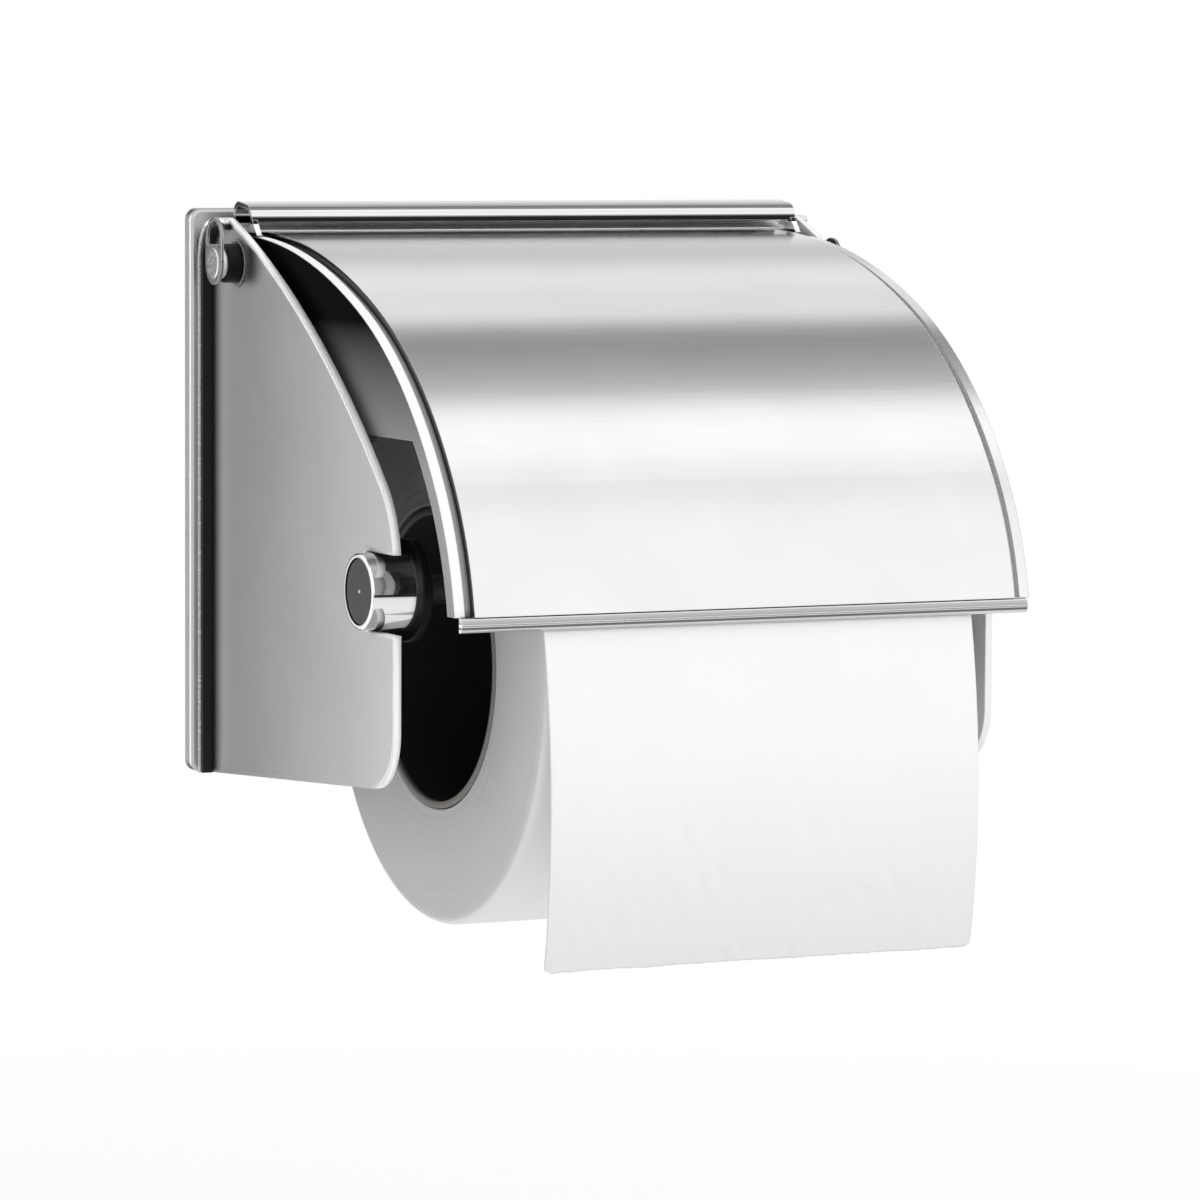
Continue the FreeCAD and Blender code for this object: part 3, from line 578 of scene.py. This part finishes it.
def tissue(name, colour, crepe_pitch, wound, painted_low_shade=None):
    """Creped tissue: white fibres in slow patches, crepe ridges across the sheet and a felt of fibres.

    crepe_pitch is the distance between ridges, and wound lays them as rings about the roll's
    axis, with painted highlight lines where the face turns into the rim and the bore.
    painted_low_shade is two heights and the colour of painted shade reached at the second.
    """
    material, tree = new_material(name)
    clouds = noise(tree, object_point(tree, (40.0, 40.0, 40.0)), 5.0)
    fibres = noise(tree, object_point(tree, (1500.0, 1500.0, 1500.0)), 4.0, 0.7)
    shade = two_tone(tree, clouds, colour)
    if wound:
        far = distance(tree, object_point(tree, (0.0, 1.0, 1.0), (0.0, ROLL_AXIS_Y, ROLL_AXIS_Z)))
        layers = maths(tree, "MULTIPLY", far, 1.0 / crepe_pitch)
        ridges = noise(tree, add(tree, "ShaderNodeCombineXYZ", {"X": layers}).outputs[0], 2.0)
        bore = CORE_INNER_RADIUS + CORE_WALL
        # Painted highlight: white lines where the face turns into the bore and the rim
        bore_highlight = spread(tree, far, bore + 0.6 * MM, bore + 1.0 * MM, 1.0, 0.0)
        rim_highlight = spread(tree, far, ROLL_RADIUS - 1.3 * MM, ROLL_RADIUS - 0.7 * MM, 0.0, 1.0)
        shade = mixed(tree, maths(tree, "MAXIMUM", bore_highlight, rim_highlight), shade, linear("#FFFFFF"))
    else:
        ridges = noise(tree, object_point(tree, (70.0, 1.0 / crepe_pitch, 1.0 / crepe_pitch)), 3.0)
    # Painted shade, reached by height
    if painted_low_shade:
        shade = by_height(tree, shade, *painted_low_shade)
    shader = add(
        tree,
        "ShaderNodeBsdfPrincipled",
        {
            "Base Color": shade,
            "Roughness": from_noise(tree, fibres, 0.8, 0.95),
            "IOR": 1.5,
            "Specular IOR Level": 0.25,
            "Sheen Weight": 0.15,
            "Sheen Roughness": 0.6,
            "Normal": bump(tree, maths(tree, "ADD", fibres, ridges), 0.04 * MM, 0.6),
        },
    )
    close(tree, shader)
    return material


# Two-ply creped tissue, white: matt, its crepe ridges drawn 0.5 mm apart, where real ones are 0.2 mm
# Painted shade: the sheet turns greyer towards its bottom
TAIL_PAPER = tissue(
    "creped_tissue_sheet",
    ("#FCFCFC", "#FEFEFE"),
    0.5 * MM,
    False,
    painted_low_shade=(-46.0 * MM, -86.0 * MM, "#EFF0F2"),
)
# The same paper wound up, painted greyer than the sheet as shade: the faces show its layers as fine rings,
# drawn 0.7 mm apart
ROLL_PAPER_PAINTED_GREY = tissue("wound_tissue_roll_painted_grey", ("#E2E2E3", "#E6E6E6"), 0.7 * MM, True)


def board(name, colour, bore_shade_colour):
    """Spiral-wound core board: brownish grey fibres, and the bore between the ends painted dark as shade.
    """
    material, tree = new_material(name)
    fibres = noise(tree, object_point(tree, (700.0, 1400.0, 1400.0)), 5.0, 0.7)
    middle = (ROLL_LEFT_X + ROLL_RIGHT_X) / 2
    half_length = (ROLL_RIGHT_X - ROLL_LEFT_X) / 2
    along = coordinate(tree, object_point(tree, centre=(middle, 0.0, 0.0)), "X")
    off_middle = maths(tree, "ABSOLUTE", along)
    at_end = spread(tree, off_middle, half_length - 1.0 * MM, half_length - 0.3 * MM, 0.0, 1.0)
    # Painted shade: the bore is dark
    bore = two_tone(tree, fibres, bore_shade_colour)
    ends = two_tone(tree, fibres, colour)
    shader = add(
        tree,
        "ShaderNodeBsdfPrincipled",
        {
            "Base Color": mixed(tree, at_end, bore, ends),
            "Roughness": from_noise(tree, fibres, 0.75, 0.92),
            "IOR": 1.5,
            "Specular IOR Level": 0.3,
            "Normal": bump(tree, fibres, 0.05 * MM, 0.8),
        },
    )
    close(tree, shader)
    return material


# Grey recycled core board, with painted shade darkening its bore
CORE_BOARD = board("spiral_core_board", ("#8E8B88", "#9A9794"), ("#262524", "#2E2D2C"))


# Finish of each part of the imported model
FINISHES = {
    "wall_plate": PLATE,
    "left_cheek": CHEEK,
    "right_cheek": FAR_CHEEK,
    "left_cheek_rim": RIM,
    "right_cheek_rim": RIM,
    "left_cheek_seal": SEAL,
    "right_cheek_seal": SEAL,
    "cheek_rivets": FIXING,
    "pivot_washers": CLIP,
    "pivot_push_nuts": FIXING,
    "pivot_spacers": BUSH,
    "left_pivot_pin": PIN,
    "right_pivot_pin": PIN,
    "left_pivot_bush": BUSH,
    "right_pivot_bush": BUSH,
    "left_pivot_clip": CLIP,
    "right_pivot_clip": CLIP,
    "hood_cover": HOOD,
    "left_hood_ear": EAR,
    "right_hood_ear": FAR_EAR,
    "spindle_rod": ROD,
    "spindle_knob": KNOB,
    "spindle_end_knob": KNOB,
    "left_spindle_collar": BUSH,
    "right_spindle_collar": BUSH,
    "spindle_button": BUTTON,
}
for node, material in FINISHES.items():
    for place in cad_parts[node].material_slots:
        place.material = material


# Soft and wound pieces

def grid_mesh(name, points, material, around=False, along=False, more_faces=None):
    """A piece from a grid of points.

    around closes the last column to the first, along the last row to the first, and
    more_faces are further faces as rows of point numbers. Where the faces enclose a space
    the wrong way round, so that the sum of their signed volumes is below 0, all are turned.
    """
    rows, columns = points.shape[:2]
    row = np.arange(rows if along else rows - 1)
    column = np.arange(columns if around else columns - 1)
    a, b = np.meshgrid(row, column, indexing="ij")
    next_a = (a + 1) % rows
    next_b = (b + 1) % columns
    corners = np.stack(
        (a * columns + b, a * columns + next_b, next_a * columns + next_b, next_a * columns + b), axis=-1
    ).reshape(-1, 4)
    if more_faces is not None:
        corners = np.concatenate((corners, more_faces))
    places = points.reshape(-1, 3)
    if around:
        first, second, third, fourth = (places[corners[:, k]] for k in range(4))
        halves = np.cross(second, third) + np.cross(third, fourth)
        if np.sum(first * halves) < 0:
            corners = corners[:, ::-1]
    mesh = bpy.data.meshes.new(name)
    mesh.from_pydata(places.tolist(), [], corners.tolist())
    mesh.polygons.foreach_set("use_smooth", np.ones(len(corners), dtype=bool))
    mesh.materials.append(material)
    mesh.update()
    piece = bpy.data.objects.new(name, mesh)
    bpy.context.scene.collection.objects.link(piece)
    return piece


def smooth_noise(count, knots, seed):
    """A smooth random line of count values between about -1 and 1 that repeats at its end.

    It is a row of random knots joined by cosine steps.
    """
    values = np.random.default_rng(seed).uniform(-1.0, 1.0, knots)
    where = np.linspace(0.0, knots, count, endpoint=False)
    low = where.astype(int)
    share = (1 - np.cos((where - low) * np.pi)) / 2
    return values[low % knots] * (1 - share) + values[(low + 1) % knots] * share


def turned_profile(x, radius, steps):
    """Points of a profile carried round the roll's axis.

    At angle a, y is the axis less radius cos a, and z is the axis plus radius sin a. x and
    radius are columns, or grids with one column for each angle.
    """
    angle = np.linspace(0.0, 2 * np.pi, steps, endpoint=False)[None, :]
    y = ROLL_AXIS_Y - radius * np.cos(angle)
    z = ROLL_AXIS_Z + radius * np.sin(angle)
    return np.stack((np.broadcast_to(x, y.shape), y, z), axis=-1)


# The wound roll: how far its paper stays off the core and inside the rim of the CAD's ring, the
# rounding at its bore, and the waves of its faces, read from a line of random values
PAPER_OFF_CORE = 0.2 * MM
PAPER_IN_RIM = 0.1 * MM
ROLL_BORE_ROUNDING = 0.6 * MM
WINDINGS_SHOWN = 24
WAVE_VALUES = 960
WAVE_VALUES_ACROSS = 720
WAVE_DEPTH = 0.025 * MM
WAVES_GROW_FROM_BORE = 1.5 * MM
WAVES_GROW_FROM_RIM = 3.0 * MM


def face_profile(edge_x, towards, inner, outer, rounding, inner_rounding, count):
    """One end face from the bore outwards: a rounding at the bore, a flat and a rounding at the rim.

    towards is -1 for the left face and +1 for the right one, and count is the number of
    points on the flat with both its ends.
    """
    bore = np.linspace(0.0, np.pi / 2, 8)
    bore_x = edge_x - towards * inner_rounding * (1 - np.sin(bore))
    bore_r = inner + inner_rounding * (1 - np.cos(bore))
    flat_r = np.linspace(inner + inner_rounding, outer - rounding, count)[1:-1]
    flat_x = np.full_like(flat_r, edge_x)
    rim = np.linspace(0.0, np.pi / 2, 14)
    rim_x = edge_x - towards * rounding * (1 - np.cos(rim))
    rim_r = outer - rounding + rounding * np.sin(rim)
    return np.concatenate((bore_x, flat_x, rim_x)), np.concatenate((bore_r, flat_r, rim_r))


def wound_roll():
    """The roll: a ring profile carried round the axis.

    The faces rise and fall with the windings, by a smooth line read along the spiral, and
    the rim is a little soft.
    """
    steps = 288
    inner = CORE_INNER_RADIUS + CORE_WALL + PAPER_OFF_CORE
    outer = ROLL_RADIUS - PAPER_IN_RIM
    shared = (inner, outer, ROLL_EDGE_ROUNDING, ROLL_BORE_ROUNDING, 70)
    left_x, left_r = face_profile(ROLL_LEFT_X, -1, *shared)
    right_x, right_r = face_profile(ROLL_RIGHT_X, 1, *shared)
    side_x = np.linspace(left_x[-1], right_x[-1], 26)[1:-1]
    side_r = np.full_like(side_x, outer)
    x = np.concatenate((left_x, side_x, right_x[::-1]))
    radius = np.concatenate((left_r, side_r, right_r[::-1]))
    angle = np.linspace(0.0, 2 * np.pi, steps, endpoint=False)
    winding = (radius[:, None] - inner) / (outer - inner) + angle[None, :] / (2 * np.pi) / WINDINGS_SHOWN
    waves = smooth_noise(WAVE_VALUES, 48, 11)
    lift = waves[(winding * WAVE_VALUES_ACROSS).astype(int) % WAVE_VALUES]
    off_bore = np.clip((radius - inner) / WAVES_GROW_FROM_BORE, 0, 1)
    off_rim = np.clip((outer - radius) / WAVES_GROW_FROM_RIM, 0, 1)
    outward = np.where(np.arange(len(x)) < len(left_x), -1.0, 1.0)
    depth = WAVE_DEPTH * lift * (off_bore * off_rim)[:, None]
    waved_x = x[:, None] + outward[:, None] * (depth - WAVE_DEPTH)
    points = turned_profile(waved_x, radius[:, None], steps)
    return grid_mesh("wound_roll", points, ROLL_PAPER_PAINTED_GREY, around=True, along=True)


CORE_PROUD = 0.15 * MM
CORE_END_BULGE = 0.4


def core_tube():
    """The core: a thin tube whose profile is carried round the roll's axis.

    It stands CORE_PROUD out of the roll at both ends, which bulge by the share
    CORE_END_BULGE of half its wall.
    """
    half_wall = CORE_WALL / 2
    middle = CORE_INNER_RADIUS + half_wall
    turn = np.linspace(0.0, np.pi, 11)
    bulge = half_wall * CORE_END_BULGE * (1 - np.sin(turn))
    left_x = ROLL_LEFT_X - CORE_PROUD + bulge
    left_r = middle - half_wall * np.cos(turn)
    right_x = ROLL_RIGHT_X + CORE_PROUD - bulge
    right_r = middle + half_wall * np.cos(turn)
    bore_x = np.linspace(right_x[-1], left_x[0], 8)[1:-1]
    bore_r = np.full_like(bore_x, CORE_INNER_RADIUS)
    outside_x = bore_x[::-1]
    outside_r = np.full_like(bore_x, CORE_INNER_RADIUS + CORE_WALL)
    x = np.concatenate((left_x, outside_x, right_x, bore_x))
    radius = np.concatenate((left_r, outside_r, right_r, bore_r))
    points = turned_profile(x[:, None], radius[:, None], 192)
    return grid_mesh("core_tube", points, CORE_BOARD, around=True, along=True)


# The hanging sheet: the angles about the roll's axis where it begins and where it leaves the
# roll, the depth at which it stands furthest forward, and its own sizes
SHEET_TOP_ANGLE = math.radians(17.0)
SHEET_LEAVES_ROLL = math.radians(12.4)
SHEET_FULLEST = 38.0 * MM
SHEET_THICKNESS = 0.2 * MM
SHEET_ON_ROLL = 0.12 * MM
SHEET_CORNER = 1.6 * MM
# Its torn edge: how far it rises and falls finely and slowly, how far it is raised, and from where
TEAR_FINE = 0.09 * MM
TEAR_SLOW = 0.12 * MM
TEAR_RISE = 0.2 * MM
TEAR_REACH = 5.0 * MM
# Its creases and the pleats of its torn edge: heights, and the depths where they begin and grow
LINE_VALUES = 4096
CREASE_SLANT = math.tan(math.radians(21.0))
CREASE_HEIGHT = 0.17 * MM
CREASES_BEGIN = 22.0 * MM
CREASES_GROW = 30.0 * MM
PLEAT_HEIGHT = 0.16 * MM
PLEATS_BEGIN = 62.0 * MM
PLEATS_GROW = 8.0 * MM


def wrinkle(across, down):
    """Height in metres of the sheet's creases at places across and down it, in metres.

    Slanting creases are a smooth random line read at across less slant times down, broken
    into short lengths by a second line read mostly downwards, and stronger low down and to
    the right. Pleats along the torn edge are a finer line that dies out upwards.
    """
    lines = smooth_noise(LINE_VALUES, 76, 7)
    window = smooth_noise(LINE_VALUES, 26, 21)
    pleats = smooth_noise(LINE_VALUES, 96, 4)
    width = ROLL_RIGHT_X - ROLL_LEFT_X

    def read(line, place):
        """A line's values at places in metres, of which the sheet's width is half the line."""
        return line[(place / width * (LINE_VALUES // 2)).astype(int) % LINE_VALUES]

    lower = np.clip((down - CREASES_BEGIN) / CREASES_GROW, 0.0, 1.0)
    length = np.clip(0.3 + read(window, 0.6 * across + 1.6 * down), 0.0, 1.0)
    slanted = read(lines, across - CREASE_SLANT * down)
    creases = CREASE_HEIGHT * slanted * length * lower * (0.6 + 0.6 * across / width)
    near_end = np.clip((down - PLEATS_BEGIN) / PLEATS_GROW, 0.0, 1.0) ** 2
    return creases + PLEAT_HEIGHT * read(pleats, across) * near_end


def tissue_sheet():
    """The hanging sheet, and the length of its middle line.

    The middle line is an arc about the roll's axis from behind the lip, and below the angle
    where the paper leaves the roll a parabola: forwards = slope * d - slope * d * d / (2 * fullest)
    at depth d. Across, the sheet is straight, with creases added as a shift in Y, and its
    lower corners are rounded.
    """
    columns = 260
    radius = ROLL_RADIUS + SHEET_ON_ROLL
    slope = math.tan(SHEET_LEAVES_ROLL)
    angle = np.linspace(SHEET_TOP_ANGLE, SHEET_LEAVES_ROLL, 8, endpoint=False)
    hang_length = TAIL_LENGTH + radius * math.sin(SHEET_LEAVES_ROLL)
    depth = np.linspace(0.0, hang_length, 150)
    forwards = slope * depth * (1 - depth / (2 * SHEET_FULLEST))
    off_axis = np.concatenate((radius * np.cos(angle), radius * math.cos(SHEET_LEAVES_ROLL) + forwards))
    line_y = ROLL_AXIS_Y - off_axis
    above_axis = np.concatenate((radius * np.sin(angle), radius * math.sin(SHEET_LEAVES_ROLL) - depth))
    line_z = ROLL_AXIS_Z + above_axis
    length = float(np.sum(np.hypot(np.diff(line_y), np.diff(line_z))))
    down = np.concatenate((np.zeros(len(angle)), depth))[:, None]
    across = np.linspace(0.0, 1.0, columns)[None, :]
    below = np.clip((down - hang_length + SHEET_CORNER) / SHEET_CORNER, 0.0, 1.0)
    # A little short of the full rounding, so the last row keeps a slope
    inset = SHEET_CORNER * (1 - np.sqrt(1 - 0.999 * below ** 2))
    left = ROLL_LEFT_X + inset
    right = ROLL_RIGHT_X - inset
    x = left + (right - left) * across
    deep = np.broadcast_to(down, x.shape)
    y = line_y[:, None] + wrinkle(x - ROLL_LEFT_X, deep)
    torn = TEAR_FINE * smooth_noise(columns, 88, 3) + TEAR_SLOW * smooth_noise(columns, 9, 8)
    near_tear = np.clip((deep - hang_length + TEAR_REACH) / TEAR_REACH, 0.0, 1.0)
    z = line_z[:, None] + (torn[None, :] + TEAR_RISE) * near_tear
    front = np.stack((x, y - SHEET_THICKNESS / 2, z), axis=-1)
    back = np.stack((x, y + SHEET_THICKNESS / 2, z), axis=-1)
    shell = np.concatenate((front, back[:, ::-1]), axis=1)
    full = 2 * columns
    c = np.arange(columns - 1)
    top_end = np.stack((c + 1, c, full - 1 - c, full - 2 - c), axis=-1)
    torn_end = np.stack((c, c + 1, full - 2 - c, full - 1 - c), axis=-1) + (len(line_y) - 1) * full
    ends = np.concatenate((top_end, torn_end))
    return grid_mesh("tissue_sheet", shell, TAIL_PAPER, around=True, more_faces=ends), length


roll = wound_roll()
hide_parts("tissue_roll")
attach(roll, "roll")

core = core_tube()
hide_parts("roll_core")
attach(core, "roll")

sheet, sheet_length = tissue_sheet()
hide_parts("tissue_tail")
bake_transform(sheet)


# Floor, background and light

FLOOR_Z = -0.30
FLOOR_HALF = 6.0
# The floor's own glow to the eye, and the distances from its middle between which it turns plain white
FLOOR_LIFT = 0.3
FLOOR_FADES = (0.35, 1.1)


def seen_directly(tree):
    """1 for rays from the camera, a mirror or glass, and 0 for light on matt surfaces."""
    path = add(tree, "ShaderNodeLightPath").outputs
    seen = path["Is Camera Ray"]
    for ray in ("Is Glossy Ray", "Is Transmission Ray"):
        seen = maths(tree, "MAXIMUM", seen, path[ray])
    return seen


def glow(tree, strength):
    """A white surface that shines by itself."""
    return add(tree, "ShaderNodeEmission", {"Color": (1.0, 1.0, 1.0, 1.0), "Strength": strength})


def floor_material():
    """Pale seamless paper: matt white for light.

    To the eye and in metal it is white less its shadows, and plain white further out.
    """
    material, tree = new_material("white_studio_floor")
    fibres = noise(tree, object_point(tree, (300.0, 300.0, 300.0)), 2.0)
    shade = mixed(tree, fibres, linear("#F6F6F6"), linear("#F8F8F8"))
    paper = add(tree, "ShaderNodeBsdfDiffuse", {"Color": shade}).outputs[0]
    lifted = add(tree, "ShaderNodeAddShader", {0: paper, 1: glow(tree, FLOOR_LIFT).outputs[0]}).outputs[0]
    away = distance(tree, object_point(tree, (1.0, 1.0, 0.0)))
    far = spread(tree, away, *FLOOR_FADES, 0.0, 1.0)
    shown = add(tree, "ShaderNodeMixShader", {0: far, 1: lifted, 2: glow(tree, 1.0).outputs[0]}).outputs[0]
    close(tree, add(tree, "ShaderNodeMixShader", {0: seen_directly(tree), 1: paper, 2: shown}))
    return material


floor_mesh = bpy.data.meshes.new("studio_floor")
floor_corners = [(x * FLOOR_HALF, y * FLOOR_HALF, FLOOR_Z) for x, y in ((-1, -1), (1, -1), (1, 1), (-1, 1))]
floor_mesh.from_pydata(floor_corners, [], [(0, 1, 2, 3)])
floor_mesh.materials.append(floor_material())
floor = bpy.data.objects.new("studio_floor", floor_mesh)
bpy.context.scene.collection.objects.link(floor)


def studio_world(soft_light):
    """White to the eye and in metal, and a weaker even light on matt surfaces."""
    world = bpy.data.worlds.new("studio_world")
    world.use_nodes = True
    tree = world.node_tree
    tree.nodes.clear()
    strength = spread(tree, seen_directly(tree), 0.0, 1.0, soft_light, 1.0)
    white = add(tree, "ShaderNodeBackground", {"Color": (1.0, 1.0, 1.0, 1.0), "Strength": strength})
    add(tree, "ShaderNodeOutputWorld", {"Surface": white.outputs[0]})
    bpy.context.scene.world = world


studio_world(soft_light=0.55)


def facing(place, aim):
    """The turned and moved frame of something that stands at place and looks at aim."""
    direction = Vector(aim) - Vector(place)
    return Matrix.Translation(place) @ direction.to_track_quat("-Z", "Y").to_matrix().to_4x4()


def soft_lamp(name, place, aim, size, watts):
    """A rectangular softbox of size (width, height) that faces its aim and lights matt surfaces."""
    light = bpy.data.lights.new(name, "AREA")
    light.shape = "RECTANGLE"
    light.size, light.size_y = size
    light.energy = watts
    lamp = bpy.data.objects.new(name, light)
    lamp.matrix_world = facing(place, aim)
    bpy.context.scene.collection.objects.link(lamp)
    lamp.visible_glossy = False


def only_in_metal(card):
    """A card that polished surfaces show and nothing else sees."""
    card.visible_camera = False
    card.visible_diffuse = False
    card.visible_shadow = False
    card.visible_transmission = False
    card.visible_volume_scatter = False


# The light tent, and its brightness by the angle in degrees from the horizon behind (0) over the
# top to the horizon in front (180)
TENT_RADIUS = 2.5
TENT_HALF_LENGTH = 4.0
TENT_BELOW_HORIZON = 6.0
TENT_BRIGHTEST = 1.6
TENT_STRIPS = (
    (0, 1.15),
    (17, 1.15),
    (22, 0.86),
    (27, 0.75),
    (33, 0.74),
    (40, 1.14),
    (46, 1.18),
    (50, 1.02),
    (56, 1.20),
    (60, 1.10),
    (67, 0.45),
    (73, 0.40),
    (82, 0.54),
    (91, 0.72),
    (97, 1.35),
    (102, 1.55),
    (112, 1.52),
    (119, 1.24),
    (124, 1.26),
    (135, 1.40),
    (180, 1.45),
)


def light_tent():
    """The arched cloth that the hood mirrors.

    Its points are (x, r cos a, r sin a) for angles a from just below one horizon to the other.
    """
    below = TENT_BELOW_HORIZON
    angle = np.radians(np.linspace(-below, 180.0 + below, 65))[:, None]
    x = np.array([[-TENT_HALF_LENGTH, TENT_HALF_LENGTH]])
    points = np.stack(
        np.broadcast_arrays(x, TENT_RADIUS * np.cos(angle), TENT_RADIUS * np.sin(angle)), axis=-1
    )
    material, tree = new_material("light_tent_cloth")
    here = object_point(tree)
    turn = maths(tree, "ARCTAN2", coordinate(tree, here, "Z"), coordinate(tree, here, "Y"))
    stops = [(degrees / 180.0, level / TENT_BRIGHTEST) for degrees, level in TENT_STRIPS]
    strips = ramp(tree, spread(tree, turn, 0.0, math.pi, 0.0, 1.0), stops)
    close(tree, add(tree, "ShaderNodeEmission", {"Color": strips, "Strength": TENT_BRIGHTEST}))
    only_in_metal(grid_mesh("light_tent", points, material))


def grey_card(name, place, aim, size, greys, along=(0.0, 0.0, 1.0), reach=1.0):
    """A plain card of size (width, height), facing its aim, for a darker patch in polished metal.

    Its grey runs from the first to the second over reach in the direction along.
    """
    sides = np.array([[-0.5, 0.5], [-0.5, 0.5]])
    ups = np.array([[-0.5, -0.5], [0.5, 0.5]])
    flat = np.stack((sides * size[0], ups * size[1], np.zeros((2, 2)), np.ones((2, 2))), axis=-1)
    points = (flat @ np.array(facing(place, aim)).T)[..., :3]
    material, tree = new_material(name)
    here = object_point(tree, centre=place)
    way = add(tree, "ShaderNodeVectorMath", {0: here, 1: along}, operation="DOT_PRODUCT")
    close(tree, glow(tree, spread(tree, way.outputs["Value"], -reach / 2, reach / 2, *greys)))
    only_in_metal(grid_mesh(name, points, material))


soft_lamp("front_softbox", (0.35, -1.6, 0.75), (0.0, -0.08, 0.0), (1.6, 1.1), 8.5)
soft_lamp("top_softbox", (0.25, -0.55, 1.25), (0.0, -0.08, 0.0), (1.6, 1.1), 5.5)
light_tent()
grey_card("low_dark_card", (0.2, -0.9, -0.16), (0.0, -0.1, 0.0), (1.8, 0.12), (0.12, 0.12))
# Behind and left of the cheek: brighter outwards, so the cheek is brighter towards its front
grey_card(
    "left_back_card",
    (-0.235, 0.25, 0.0),
    (-0.07, -0.06, 0.0),
    (0.60, 0.56),
    (0.0, 3.0),
    along=(-1.0, 0.0, -0.04),
    reach=0.083,
)
# Behind and below: the grey that the bead's top strip shows
grey_card("bead_card", (1.0, 1.6, -0.55), (0.0, 0.0, 0.06), (2.0, 0.9), (0.40, 0.40))

bpy.context.scene.view_settings.view_transform = "Standard"
